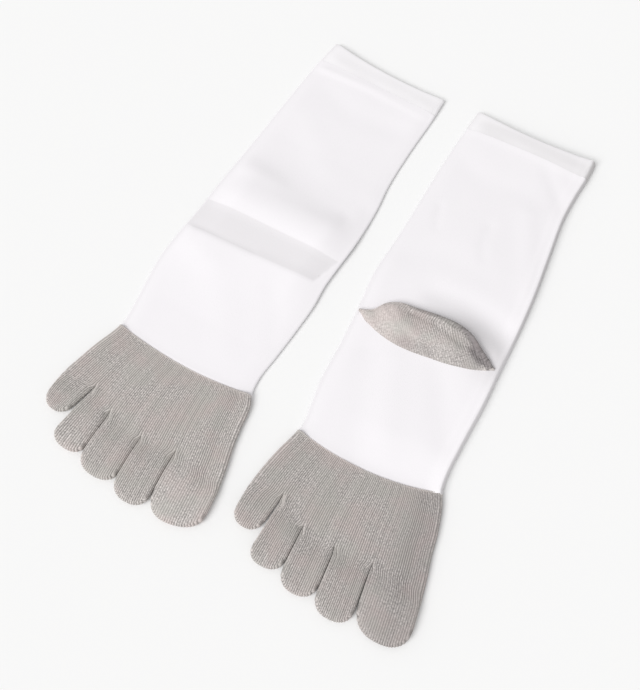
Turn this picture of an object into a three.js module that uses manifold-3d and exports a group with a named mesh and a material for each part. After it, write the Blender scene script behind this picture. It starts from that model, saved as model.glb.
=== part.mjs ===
// A pair of five-toe crew socks, lying flat and empty on a surface.
// Millimetres, +Z up, the surface is z = 0 and the toes point along -Y.
//
// Each sock is modelled in a frame of its own: the origin is the middle of the colour change
// between the white foot and the grey forefoot, +y runs to the cuff, and +x is the side of the
// big toe. The right sock lies instep up with its heel pocket folded beneath it. The left sock
// lies sole up with its heel pocket on top. Every piece is a knitted wall round a flat hollow.
import * as THREE from 'three';
import { mergeVertices } from 'three/addons/utils/BufferGeometryUtils.js';
import Module from 'manifold-3d';

const wasm = await Module();
wasm.setup();

// ---- Driving dimensions ----

const SEAM = 0.3; // between two pieces where they are sewn or knitted on
const ROOT_SEAM = 0.45; // at the toe roots, whose curve the toes follow in flat facets
const FADE = 9; // how far in from a side the roll of its fold reaches
const SLACKENS = 7; // how far past the sole's seam the cloth over the pocket sags fully
const LEAST_SLACK = 0.15; // the part of that sag that it has right at the seam

// wall: the cloth, flat: both panels on each other, side: over the roll of a folded side.
const KNIT = {
  cuff: { wall: 1.6, flat: 3.8, side: 4.2 },
  leg: { wall: 1.2, flat: 3.0, side: 3.9 },
  forefoot: { wall: 1.5, flat: 3.8, side: 4.4 },
  toe: { wall: 1.5, flat: 3.8, puffed: 5.7 },
  heel: { wall: 1.4 },
};

const WHITE = { color: 0xf3f1f2, roughness: 0.95, metalness: 0 };
const GREY = { color: 0xb0aaa7, roughness: 0.97, metalness: 0 };
const FINISH = { cuff: WHITE, leg: WHITE, heel: GREY, forefoot: GREY, toe: GREY };

// Mesh fineness.
const PANEL_POINTS = 11; // across one panel
const CROWDING = 1.35; // how much closer those points are near the sides, from 0 to 1.5
const ROLL_POINTS = 3; // round a folded side, between the two panels
const STATION = 11; // along a tube
const FOREFOOT_STATIONS = 5; // along the forefoot
const POCKET_POINTS = 18; // along the heel pocket's wall
const TOE_STATION = 5; // along a toe's straight part
const TOE_END_ANGLES = [28, 52, 72]; // along its rounded end
const TOE_POINTS = 14; // round a toe

// The heel pocket's wall from the sole's seam on. On top of the sock it rises to its crown, and
// beneath the sock it drops to the surface: along is a part of its depth, from seam to fold.
const POCKET_RISE = [
  { along: 0.16, risen: 0.3 },
  { along: 0.4, risen: 0.8 },
  { along: 0.66, risen: 1 },
];
const POCKET_DROP = [
  { along: 0.22, dropped: 0.6 },
  { along: 0.36, dropped: 1 },
  { along: 0.6, dropped: 1 },
];
const POCKET_FOLD_TURNS = [90, 45, 0, -45, -90];

// A toe's section and end: 1 is a plain ellipse's power for each, and 2 for the end.
const TOE_SECTION_POWER = 0.8;
const TOE_END_POWER = 2.3;
const TOE_WIDEST = 0.45; // where it is widest, as a part of its height
const TOE_UNDER = 1.3; // how far its lower half would reach below the surface it rests on
const TOE_SWELLS = 16; // from the root to where it is fully puffed

// A seam bows across the sock: its place along y at the left side, the middle and the right.
const RIGHT_SOCK = {
  name: 'right',
  place: { x: -65.4, y: -81.5, turn: -1.69 },
  instepUp: true,
  cuffTop: { left: 252.5, middle: 248, right: 250 },
  cuffSeam: { left: 234, middle: 234, right: 234 },
  soleSeam: { left: 77, middle: 80, right: 84.6 },
  legSeam: { left: 100.2, middle: 102.3, right: 104.3 },
  border: { left: -2, middle: -5, right: 1.2 },
  outline: [
    { y: -56, left: -59, right: 61.8 },
    { y: -45, left: -58.3, right: 59.8 },
    { y: -32, left: -56, right: 56.6 },
    { y: -20, left: -53, right: 54 },
    { y: -5, left: -47.5, right: 50.6 },
    { y: 2, left: -46.2, right: 47.4 },
    { y: 12, left: -47.2, right: 45.6 },
    { y: 30, left: -50, right: 45.2 },
    { y: 50, left: -52.6, right: 46.6 },
    { y: 70, left: -52, right: 47 },
    { y: 85, left: -50.8, right: 47 },
    { y: 100, left: -50, right: 47 },
    { y: 120, left: -49.3, right: 48 },
    { y: 150, left: -48.2, right: 48 },
    { y: 170, left: -47.5, right: 46.2 },
    { y: 200, left: -46.3, right: 45 },
    { y: 230, left: -44.6, right: 44.2 },
    { y: 252, left: -42, right: 44 },
  ],
  // Height of the underside: the leg rises over the heel pocket that is folded beneath it.
  lift: [
    { y: 30, up: 0 },
    { y: 52, up: 0.5 },
    { y: 75, up: 1.5 },
    { y: 88, up: 2.5 },
    { y: 102, up: 3.8 },
    { y: 110, up: 4.5 },
    { y: 120, up: 4.2 },
    { y: 129, up: 2.9 },
    { y: 138, up: 1.5 },
    { y: 150, up: 0.5 },
    { y: 166, up: 0 },
  ],
  // The single layer over the pocket's mouth hangs this much lower than the cloth round it.
  sag: 1.0,
  heel: [
    { x: -43, sole: 77.4, leg: 100.5, fold: 108, roll: 0.9 },
    { x: -30, sole: 77.7, leg: 101, fold: 111, roll: 1.0 },
    { x: -15, sole: 78.6, leg: 101.6, fold: 113, roll: 1.0 },
    { x: 0, sole: 80.1, leg: 102.3, fold: 114, roll: 1.0 },
    { x: 15, sole: 81.8, leg: 103, fold: 114, roll: 1.0 },
    { x: 28, sole: 83.2, leg: 103.6, fold: 112.5, roll: 1.0 },
    { x: 39, sole: 84.5, leg: 104.1, fold: 110, roll: 0.9 },
  ],
  slotTips: { left: { x: -45, y: 88 }, right: { x: 41, y: 94 } },
  roots: [
    { x: -58, y: -41.5 },
    { x: -36, y: -42 },
    { x: -19, y: -50 },
    { x: 5, y: -53 },
    { x: 27, y: -50 },
    { x: 61, y: -53 },
  ],
  toes: [
    { root: [27.3, 61.2], tip: [31.2, 64.8], end: -88.4, round: 15 },
    { root: [5.3, 26.7], tip: [7.6, 30.9], end: -90, round: 11 },
    { root: [-18.7, 4.7], tip: [-18.2, 7.3], end: -87.8, round: 11 },
    { root: [-35.7, -19.3], tip: [-41.2, -18.6], end: -83, round: 9.5 },
    { root: [-58, -36.3], tip: [-59.4, -41.5], end: -67.4, round: 9 },
  ],
};

const LEFT_SOCK = {
  name: 'left',
  place: { x: 62.2, y: -82.1, turn: 1.69 },
  instepUp: false,
  cuffTop: { left: 254.5, middle: 250.3, right: 252.5 },
  cuffSeam: { left: 236, middle: 236, right: 234 },
  border: { left: -3, middle: -6.3, right: 1.6 },
  outline: [
    { y: -56, left: -57, right: 59.8 },
    { y: -45, left: -56, right: 58 },
    { y: -32, left: -54, right: 55.6 },
    { y: -20, left: -51, right: 53 },
    { y: -5, left: -46.4, right: 48.6 },
    { y: 2, left: -45.2, right: 46 },
    { y: 12, left: -46.5, right: 45 },
    { y: 30, left: -48.8, right: 44.8 },
    { y: 60, left: -49, right: 45.5 },
    { y: 85, left: -50.2, right: 45.8 },
    { y: 110, left: -51.8, right: 46.5 },
    { y: 140, left: -49.6, right: 45.5 },
    { y: 170, left: -48.2, right: 43.5 },
    { y: 200, left: -47, right: 41.4 },
    { y: 220, left: -45.6, right: 42.2 },
    { y: 236, left: -44, right: 41.8 },
    { y: 254, left: -42.3, right: 40.5 },
  ],
  lift: [
    { y: 0, up: 0 },
    { y: 200, up: 0 },
  ],
  sag: 0,
  heel: [
    { x: -43, sole: 79.2, leg: 82.6, fold: 88.4, roll: 0.9, crown: 3.0 },
    { x: -36, sole: 76.2, leg: 86, fold: 94, roll: 1.2, crown: 4.1 },
    { x: -28, sole: 74.2, leg: 87.6, fold: 98, roll: 1.5, crown: 4.7 },
    { x: -18, sole: 72.7, leg: 88.4, fold: 99.6, roll: 1.6, crown: 4.9 },
    { x: -8, sole: 72.9, leg: 88.8, fold: 100.8, roll: 1.6, crown: 4.9 },
    { x: 2, sole: 74.2, leg: 89, fold: 101.7, roll: 1.6, crown: 4.9 },
    { x: 12, sole: 75.9, leg: 89, fold: 101.4, roll: 1.6, crown: 4.8 },
    { x: 21, sole: 77.9, leg: 88.8, fold: 98.9, roll: 1.4, crown: 4.4 },
    { x: 29, sole: 80, leg: 88, fold: 94.6, roll: 1.1, crown: 3.7 },
    { x: 37, sole: 83.2, leg: 85.6, fold: 90.2, roll: 0.9, crown: 2.9 },
  ],
  slotTips: { left: { x: -46, y: 81.2 }, right: { x: 39, y: 84.8 } },
  roots: [
    { x: -56, y: -41 },
    { x: -35.5, y: -41 },
    { x: -17.5, y: -51 },
    { x: 4, y: -53 },
    { x: 26, y: -51 },
    { x: 59, y: -53 },
  ],
  toes: [
    { root: [26.3, 59.3], tip: [30.5, 63.3], end: -88, round: 15 },
    { root: [4.3, 25.7], tip: [6.6, 30], end: -89.6, round: 11 },
    { root: [-17.2, 3.7], tip: [-16.4, 5.9], end: -86.7, round: 11 },
    { root: [-35.2, -17.8], tip: [-38.2, -17.1], end: -81.8, round: 9.5 },
    { root: [-56, -35.8], tip: [-57.3, -38.8], end: -67.5, round: 9 },
  ],
};

// ---- Curves ----

// A smooth curve through the rows of a table: at a value of `key` it gives the other columns.
function through(rows, key) {
  const columns = Object.keys(rows[0]).filter((name) => name !== key);
  const values = rows.flatMap((row) => columns.map((name) => row[name]));
  const places = Float32Array.from(rows, (row) => row[key]);
  const spline = new THREE.CubicInterpolant(places, Float32Array.from(values), columns.length);
  return (at) => {
    const found = Array.from(spline.evaluate(at));
    return Object.fromEntries(columns.map((name, i) => [name, found[i]]));
  };
}

// How far along y a bowed seam is, at `across` from -1 on the left to 1 on the right.
function bow(seam, across) {
  const slant = (seam.right - seam.left) / 2;
  const depth = (seam.left + seam.right) / 2 - seam.middle;
  return seam.middle + slant * across + depth * across * across;
}

function shifted(seam, by) {
  return { left: seam.left + by, middle: seam.middle + by, right: seam.right + by };
}

// Bowed stations from the first seam to the last, about `spacing` apart.
function stationsBetween(seams, spacing) {
  const stations = [seams[0]];
  for (let i = 1; i < seams.length; i += 1) {
    const [from, to] = [seams[i - 1], seams[i]];
    const count = Math.max(1, Math.round(Math.abs(to.middle - from.middle) / spacing));
    for (let step = 1; step <= count; step += 1) {
      const part = step / count;
      stations.push({
        left: THREE.MathUtils.lerp(from.left, to.left, part),
        middle: THREE.MathUtils.lerp(from.middle, to.middle, part),
        right: THREE.MathUtils.lerp(from.right, to.right, part),
      });
    }
  }
  return stations;
}

// ---- Closed bodies from rings ----

function quad(faces, a, b, c, d) {
  faces.push(a, b, c, a, c, d);
}

// A closed body from a list of vertices and triangles, its faces turned outwards.
function closedBody(vertices, faces) {
  let volume = 0;
  for (let i = 0; i < faces.length; i += 3) {
    const [a, b, c] = [0, 1, 2].map((k) => vertices[faces[i + k]]);
    volume += a.dot(b.clone().cross(c));
  }
  const turned = volume > 0 ? faces : faces.slice().reverse();
  const numbers = vertices.flatMap((vertex) => vertex.toArray());
  const geometry = new THREE.BufferGeometry();
  geometry.setAttribute('position', new THREE.Float32BufferAttribute(numbers, 3));
  geometry.setIndex(turned);
  return geometry;
}

// A hollow tube: rings of outer points and rings of inner points, joined by a rim at each end.
// With `closed`, the last outer and the last inner ring each shrink to a single point.
function hollowTube(outer, inner, closed = false) {
  const vertices = [];
  const faces = [];
  const index = (rings) => rings.map((ring) => ring.map((point) => vertices.push(point) - 1));
  const [outside, inside] = [index(outer), index(inner)];
  const around = outer[0].length;
  const next = (k) => (k + 1) % around;
  for (let k = 0; k < around; k += 1) {
    for (let j = 1; j < outside.length; j += 1) {
      if (outside[j].length === 1) {
        faces.push(outside[j - 1][k], outside[j - 1][next(k)], outside[j][0]);
        faces.push(inside[j - 1][next(k)], inside[j - 1][k], inside[j][0]);
      } else {
        quad(faces, outside[j - 1][k], outside[j - 1][next(k)], outside[j][next(k)], outside[j][k]);
        quad(faces, inside[j - 1][next(k)], inside[j - 1][k], inside[j][k], inside[j][next(k)]);
      }
    }
    quad(faces, outside[0][next(k)], outside[0][k], inside[0][k], inside[0][next(k)]);
    if (!closed) {
      const last = outside.length - 1;
      quad(faces, outside[last][k], outside[last][next(k)], inside[last][next(k)], inside[last][k]);
    }
  }
  return closedBody(vertices, faces);
}

// ---- The flat tubes: cuff, leg and forefoot ----

// Once round a flat tube: along the top panel, round the left side, back underneath, and round
// the right side. `turn` is the angle round a side, 90 on top and -90 underneath.
const ROUND = [];
for (let i = 0; i < PANEL_POINTS; i += 1) {
  const even = 1 - (2 * i) / (PANEL_POINTS - 1);
  const across = Math.sin(even * CROWDING) / Math.sin(CROWDING);
  ROUND.push({ across, turn: 90 });
}
for (let i = 1; i <= ROLL_POINTS; i += 1) {
  ROUND.push({ across: -1, turn: 90 + (180 * i) / (ROLL_POINTS + 1) });
}
for (let i = PANEL_POINTS - 1; i >= 0; i -= 1) {
  ROUND.push({ across: ROUND[i].across, turn: -90 });
}
for (let i = 1; i <= ROLL_POINTS; i += 1) {
  ROUND.push({ across: 1, turn: -90 + (180 * i) / (ROLL_POINTS + 1) });
}

// The curves that a sock's pieces share.
function curvesOf(sock) {
  const outline = through(sock.outline, 'y');
  const lift = through(sock.lift, 'y');
  const roots = through(sock.roots, 'x');
  const widest = outline(sock.outline[0].y);
  const curves = {
    outline,
    lift: (y) => Math.max(0, lift(y).up),
    rootAcross: (across) => {
      const x = THREE.MathUtils.lerp(widest.left, widest.right, (across + 1) / 2);
      return roots(x).y;
    },
  };
  // The toes' ends of the forefoot, as straight runs between the points of its last ring.
  const edge = ring(curves, KNIT.forefoot, curves.rootAcross, 0).slice(0, PANEL_POINTS).reverse();
  const places = Float32Array.from(edge, (point) => point.x);
  const runs = new THREE.LinearInterpolant(places, Float32Array.from(edge, (point) => point.y), 1);
  curves.root = (x) => runs.evaluate(x)[0];
  return curves;
}

// The extra thickness that the roll of a folded side adds, at `inward` from the roll's middle.
function rollSwell(knit, inward) {
  const near = Math.max(0, 1 - inward / FADE);
  return (knit.side - knit.flat) * near * near;
}

function ring(curves, knit, yAt, inset) {
  return ROUND.map(({ across, turn }) => {
    const y = yAt(across);
    const { left, right } = curves.outline(y);
    const roll = knit.side / 2;
    const x = THREE.MathUtils.lerp(left + roll, right - roll, (across + 1) / 2);
    const up = curves.lift(y);
    if (turn === -90) return new THREE.Vector3(x, y, up + inset);
    if (turn === 90) {
      const inward = Math.min(x - left - roll, right - roll - x);
      return new THREE.Vector3(x, y, up + knit.flat + rollSwell(knit, inward) - inset);
    }
    const angle = THREE.MathUtils.degToRad(turn);
    const radius = roll - inset;
    return new THREE.Vector3(x + radius * Math.cos(angle), y, up + roll + radius * Math.sin(angle));
  });
}

function flatTube(curves, knit, yLines) {
  const outer = yLines.map((yAt) => ring(curves, knit, yAt, 0));
  const inner = yLines.map((yAt) => ring(curves, knit, yAt, knit.wall));
  return hollowTube(outer, inner);
}

function bowedTube(curves, knit, seams) {
  const lines = stationsBetween(seams, STATION).map((seam) => (across) => bow(seam, across));
  return flatTube(curves, knit, lines);
}

function cuffBody(sock, curves) {
  return bowedTube(curves, KNIT.cuff, [shifted(sock.cuffSeam, SEAM / 2), sock.cuffTop]);
}

// The forefoot runs from the colour change to the curved line of the toe roots.
function forefootBody(sock, curves) {
  const lines = [];
  for (let i = 0; i <= FOREFOOT_STATIONS; i += 1) {
    lines.push((across) => {
      const near = bow(sock.border, across) - SEAM / 2;
      return THREE.MathUtils.lerp(near, curves.rootAcross(across), i / FOREFOOT_STATIONS);
    });
  }
  return flatTube(curves, KNIT.forefoot, lines);
}

// ---- The leg, with the slot that the heel is knitted into ----

function solidOf(geometry) {
  const merged = mergeVertices(geometry, 1e-4);
  return new wasm.Manifold(new wasm.Mesh({
    numProp: 3,
    vertProperties: new Float32Array(merged.attributes.position.array),
    triVerts: new Uint32Array(merged.index.array),
  }));
}

function geometryOf(solid) {
  const mesh = solid.getMesh();
  const geometry = new THREE.BufferGeometry();
  geometry.setAttribute('position', new THREE.BufferAttribute(mesh.vertProperties, 3));
  geometry.setIndex(new THREE.BufferAttribute(mesh.triVerts, 1));
  return geometry;
}

// A block with the slot's outline, from the middle of the sock's flat hollow outwards.
function slotCutter(sock, curves) {
  const { left, right } = sock.slotTips;
  const outline = [
    [left.x, left.y],
    ...sock.heel.map((row) => [row.x, row.sole]),
    [right.x, right.y],
    ...sock.heel.map((row) => [row.x, row.leg]).reverse(),
  ];
  const shape = new THREE.Shape(outline.map(([x, y]) => new THREE.Vector2(x, y)));
  const block = new THREE.ExtrudeGeometry(shape, { depth: 1, bevelEnabled: false });
  block.deleteAttribute('normal');
  block.deleteAttribute('uv');
  const position = block.attributes.position;
  const reach = 3 * KNIT.leg.flat;
  for (let i = 0; i < position.count; i += 1) {
    const middle = curves.lift(position.getY(i)) + KNIT.leg.flat / 2;
    const low = sock.instepUp ? middle - reach : middle;
    position.setZ(i, low + reach * position.getZ(i));
  }
  return solidOf(block);
}

function legBody(sock, curves) {
  const seams = [shifted(sock.border, SEAM / 2)];
  if (sock.instepUp) {
    // Stations on both sides of the steps where the single layer sags.
    seams.push(shifted(sock.soleSeam, 2 * SEAM), shifted(sock.soleSeam, 4));
    seams.push(shifted(sock.legSeam, -3), sock.legSeam);
  }
  seams.push(shifted(sock.cuffSeam, -SEAM / 2));
  const tube = solidOf(bowedTube(curves, KNIT.leg, seams));
  const slotted = geometryOf(tube.subtract(slotCutter(sock, curves)));
  if (sock.sag > 0) sagIntoSlot(sock, curves, slotted);
  return slotted;
}

// Over the pocket's mouth there is one layer of cloth only, and it hangs into the mouth.
function sagIntoSlot(sock, curves, geometry) {
  const position = geometry.attributes.position;
  const edges = through(sock.heel, 'x');
  const [first, last] = [sock.heel[0].x, sock.heel[sock.heel.length - 1].x];
  for (let i = 0; i < position.count; i += 1) {
    const [x, y, z] = [position.getX(i), position.getY(i), position.getZ(i)];
    if (x < first || x > last || z < curves.lift(y) + KNIT.leg.flat / 2 + 0.05) continue;
    const { sole, leg } = edges(x);
    if (y < sole + SEAM || y > leg - SEAM) continue;
    const slack = THREE.MathUtils.clamp((y - sole) / SLACKENS, LEAST_SLACK, 1);
    position.setZ(i, z - sock.sag * slack);
  }
}

// ---- The heel pocket ----

// The pocket is a curved wall, folded over towards the cuff: from the seam at the sole to the
// fold, and back to the seam at the leg. This is the line along its middle, seen from the side.
function pocketLine(sock, curves, row) {
  const { sole, leg, fold, roll } = row;
  const half = KNIT.heel.wall / 2;
  const depth = fold - sole;
  const side = sock.instepUp ? -1 : 1;
  const panel = KNIT.leg.wall / 2;
  const start = sock.instepUp ? curves.lift(sole) + panel : KNIT.leg.flat - panel;
  const points = [[sole + 1.5 * SEAM, start], [sole + 5 * SEAM, start + side * 0.05]];
  if (sock.instepUp) {
    for (const { along, dropped } of POCKET_DROP) {
      points.push([sole + along * depth, THREE.MathUtils.lerp(start, half, dropped)]);
    }
  } else {
    for (const { along, risen } of POCKET_RISE) {
      points.push([sole + along * depth, KNIT.leg.flat + risen * row.crown]);
    }
  }
  // The layer that runs back to the leg's seam, and the fold that leads to it.
  const back = sock.instepUp ? half + 2 * roll : KNIT.leg.flat + SEAM + half;
  for (const turn of POCKET_FOLD_TURNS) {
    const angle = THREE.MathUtils.degToRad(turn);
    const y = fold - half - roll + roll * Math.cos(angle);
    points.push([y, back + side * roll * (1 + Math.sin(angle))]);
  }
  points.push([leg - 4 * SEAM, back]);
  return new THREE.SplineCurve(points.map(([y, z]) => new THREE.Vector2(y, z)));
}

function pocketSection(sock, curves, row) {
  const line = pocketLine(sock, curves, row);
  const half = KNIT.heel.wall / 2;
  const outer = [];
  const inner = [];
  for (let i = 0; i <= POCKET_POINTS; i += 1) {
    const at = line.getPointAt(i / POCKET_POINTS);
    const along = line.getTangentAt(i / POCKET_POINTS);
    const aside = new THREE.Vector2(-along.y, along.x).multiplyScalar(half);
    outer.push(new THREE.Vector3(row.x, at.x + aside.x, at.y + aside.y));
    inner.push(new THREE.Vector3(row.x, at.x - aside.x, at.y - aside.y));
  }
  return [...outer, ...inner.reverse()];
}

function heelBody(sock, curves) {
  const sections = sock.heel.map((row) => pocketSection(sock, curves, row));
  const vertices = sections.flat();
  const around = sections[0].length;
  const faces = [];
  for (let j = 1; j < sections.length; j += 1) {
    for (let k = 0; k < around; k += 1) {
      const next = (k + 1) % around;
      const [near, far] = [(j - 1) * around, j * around];
      quad(faces, near + k, near + next, far + next, far + k);
    }
  }
  const last = (sections.length - 1) * around;
  for (let k = 0; k < around / 2 - 1; k += 1) {
    const back = around - 1 - k;
    quad(faces, k + 1, k, back, back - 1);
    quad(faces, last + k, last + k + 1, last + back - 1, last + back);
  }
  const body = closedBody(vertices, faces);
  const position = body.attributes.position;
  for (let i = 0; i < position.count; i += 1) position.setZ(i, Math.max(0, position.getZ(i)));
  return body;
}

// ---- The toes ----

// A ring round a toe, inset from its outer face, at `along` from its root.
function toeRing(curves, toe, along, inset) {
  const { flat, puffed } = KNIT.toe;
  const [rootLeft, rootRight] = toe.root;
  const rootMiddle = curves.root((rootLeft + rootRight) / 2);
  const length = rootMiddle - toe.end;
  const straight = length - toe.round;
  const past = Math.max(0, (along - straight) / (toe.round - inset));
  const shrink = (1 - past ** TOE_END_POWER) ** (1 / TOE_END_POWER);
  const left = THREE.MathUtils.lerp(rootLeft, toe.tip[0], along / length) + inset;
  const right = THREE.MathUtils.lerp(rootRight, toe.tip[1], along / length) - inset;
  const swell = Math.sin((Math.min(1, along / TOE_SWELLS) * Math.PI) / 2);
  const height = THREE.MathUtils.lerp(flat, puffed, swell);
  const centre = height * TOE_WIDEST;
  const flatten = shrink ** TOE_SECTION_POWER;
  const above = (height - centre - inset) * flatten;
  const below = (centre - inset) * flatten * TOE_UNDER;
  const power = (value) => Math.sign(value) * Math.abs(value) ** TOE_SECTION_POWER;
  const points = [];
  for (let k = 0; k < TOE_POINTS; k += 1) {
    const angle = (2 * Math.PI * k) / TOE_POINTS;
    const x = (left + right) / 2 + ((right - left) / 2) * shrink * power(Math.cos(angle));
    const rise = power(Math.sin(angle));
    const z = centre + (rise > 0 ? above : below) * rise;
    const atRoot = curves.root(THREE.MathUtils.clamp(x, rootLeft, rootRight)) - ROOT_SEAM;
    const y = THREE.MathUtils.lerp(atRoot, rootMiddle - along, Math.min(1, along / straight));
    points.push(new THREE.Vector3(x, y, Math.max(inset, z)));
  }
  return points;
}

// A toe is a flat tube with a rounded, closed end. Its underside lies flat on the surface.
function toeBody(sock, curves, toe) {
  const rootMiddle = curves.root((toe.root[0] + toe.root[1]) / 2);
  const straight = rootMiddle - toe.end - toe.round;
  const steps = Math.max(2, Math.round(straight / TOE_STATION));
  const rings = (inset) => {
    const alongs = [];
    for (let i = 0; i <= steps; i += 1) alongs.push((straight * i) / steps);
    for (const angle of TOE_END_ANGLES) {
      alongs.push(straight + (toe.round - inset) * Math.sin(THREE.MathUtils.degToRad(angle)));
    }
    const list = alongs.map((along) => toeRing(curves, toe, along, inset));
    const tip = (toe.tip[0] + toe.tip[1]) / 2;
    list.push([new THREE.Vector3(tip, toe.end + inset, KNIT.toe.puffed * TOE_WIDEST)]);
    return list;
  };
  return hollowTube(rings(0), rings(KNIT.toe.wall), true);
}

// ---- The pair ----

function pieceMesh(name, geometry, finish) {
  const piece = new THREE.Mesh(geometry, new THREE.MeshStandardMaterial(finish));
  piece.name = name;
  return piece;
}

function sockGroup(sock) {
  const curves = curvesOf(sock);
  const group = new THREE.Group();
  const bodies = { cuff: cuffBody, leg: legBody, heel: heelBody, forefoot: forefootBody };
  for (const [piece, body] of Object.entries(bodies)) {
    group.add(pieceMesh(`${sock.name}_${piece}`, body(sock, curves), FINISH[piece]));
  }
  sock.toes.forEach((toe, i) => {
    group.add(pieceMesh(`${sock.name}_toe_${i + 1}`, toeBody(sock, curves, toe), FINISH.toe));
  });
  group.position.set(sock.place.x, sock.place.y, 0);
  group.rotation.z = THREE.MathUtils.degToRad(sock.place.turn);
  return group;
}

const pair = new THREE.Group();
pair.add(sockGroup(RIGHT_SOCK), sockGroup(LEFT_SOCK));

export default pair;
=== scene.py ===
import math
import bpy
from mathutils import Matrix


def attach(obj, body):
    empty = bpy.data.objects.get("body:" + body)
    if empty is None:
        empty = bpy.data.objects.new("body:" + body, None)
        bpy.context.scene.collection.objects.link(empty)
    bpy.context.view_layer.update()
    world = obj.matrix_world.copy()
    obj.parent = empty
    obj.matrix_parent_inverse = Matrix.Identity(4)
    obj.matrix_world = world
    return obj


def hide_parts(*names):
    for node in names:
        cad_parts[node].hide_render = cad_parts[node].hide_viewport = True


bl_info = {
    "name": "Toe Sock Pair",
    "version": (1, 0, 0),
    "blender": (4, 5, 0),
    "location": "View3D > Sidebar > Toe Socks",
    "description": "Builds a pair of five-toe crew socks that lie flat and empty, and their stage",
    "category": "Object",
}

import bmesh
import bpy
import numpy as np
from bpy.props import FloatProperty, FloatVectorProperty, PointerProperty
from mathutils import Matrix, Vector

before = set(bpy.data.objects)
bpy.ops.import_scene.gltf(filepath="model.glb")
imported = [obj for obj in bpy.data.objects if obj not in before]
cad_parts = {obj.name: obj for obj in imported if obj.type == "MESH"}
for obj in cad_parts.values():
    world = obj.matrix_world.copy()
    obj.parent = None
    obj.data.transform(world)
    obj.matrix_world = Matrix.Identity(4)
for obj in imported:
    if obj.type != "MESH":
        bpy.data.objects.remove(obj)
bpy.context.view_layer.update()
BODY = "root"
MM = 0.001

# ---- The cut of the socks, in each sock's own millimetres ----
# The origin is the middle of the colour change, +y runs to the cuff and +x is the big toe's side.

# wall: the cloth, flat: both panels on each other, side: over the roll of a folded side.
CUFF = {"wall": 1.3, "flat": 3.8, "side": 4.2}
LEG = {"wall": 0.9, "flat": 3.0, "side": 3.9}
FOREFOOT = {"wall": 1.1, "flat": 3.8, "side": 4.4}
HEEL_HALF_WALL = 0.6
HEEL_LINE = 0.7  # the middle of the pocket's wall, above what it lies on
SEAM = 0.3
CUFF_SEAM = 0.06
FADE = 9.0  # how far in from a side the roll of its fold reaches
EDGE = 1.5  # a folded side is this much wider than it is round
HANG = 19.0  # how far in from a side the cloth starts to hang from what lifts it
SUNK = 0.3  # how much of its lift a side keeps
HALF_WIDTH = 48  # half the leg's width and half the cuff's, between which their seams are bowed
HALF_CUFF = 46
WELT_STEP = (CUFF["flat"] - LEG["flat"]) / 2  # the welt stands this much higher than the leg

# The shape of a folded side: how high its outermost line is as a part of its height, the power
# of its upper half, how wide it is against a round one, and how full the painted shade on it is.
ROUND_FOLD = (0.5, 2.0, EDGE, 0.0)
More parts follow.
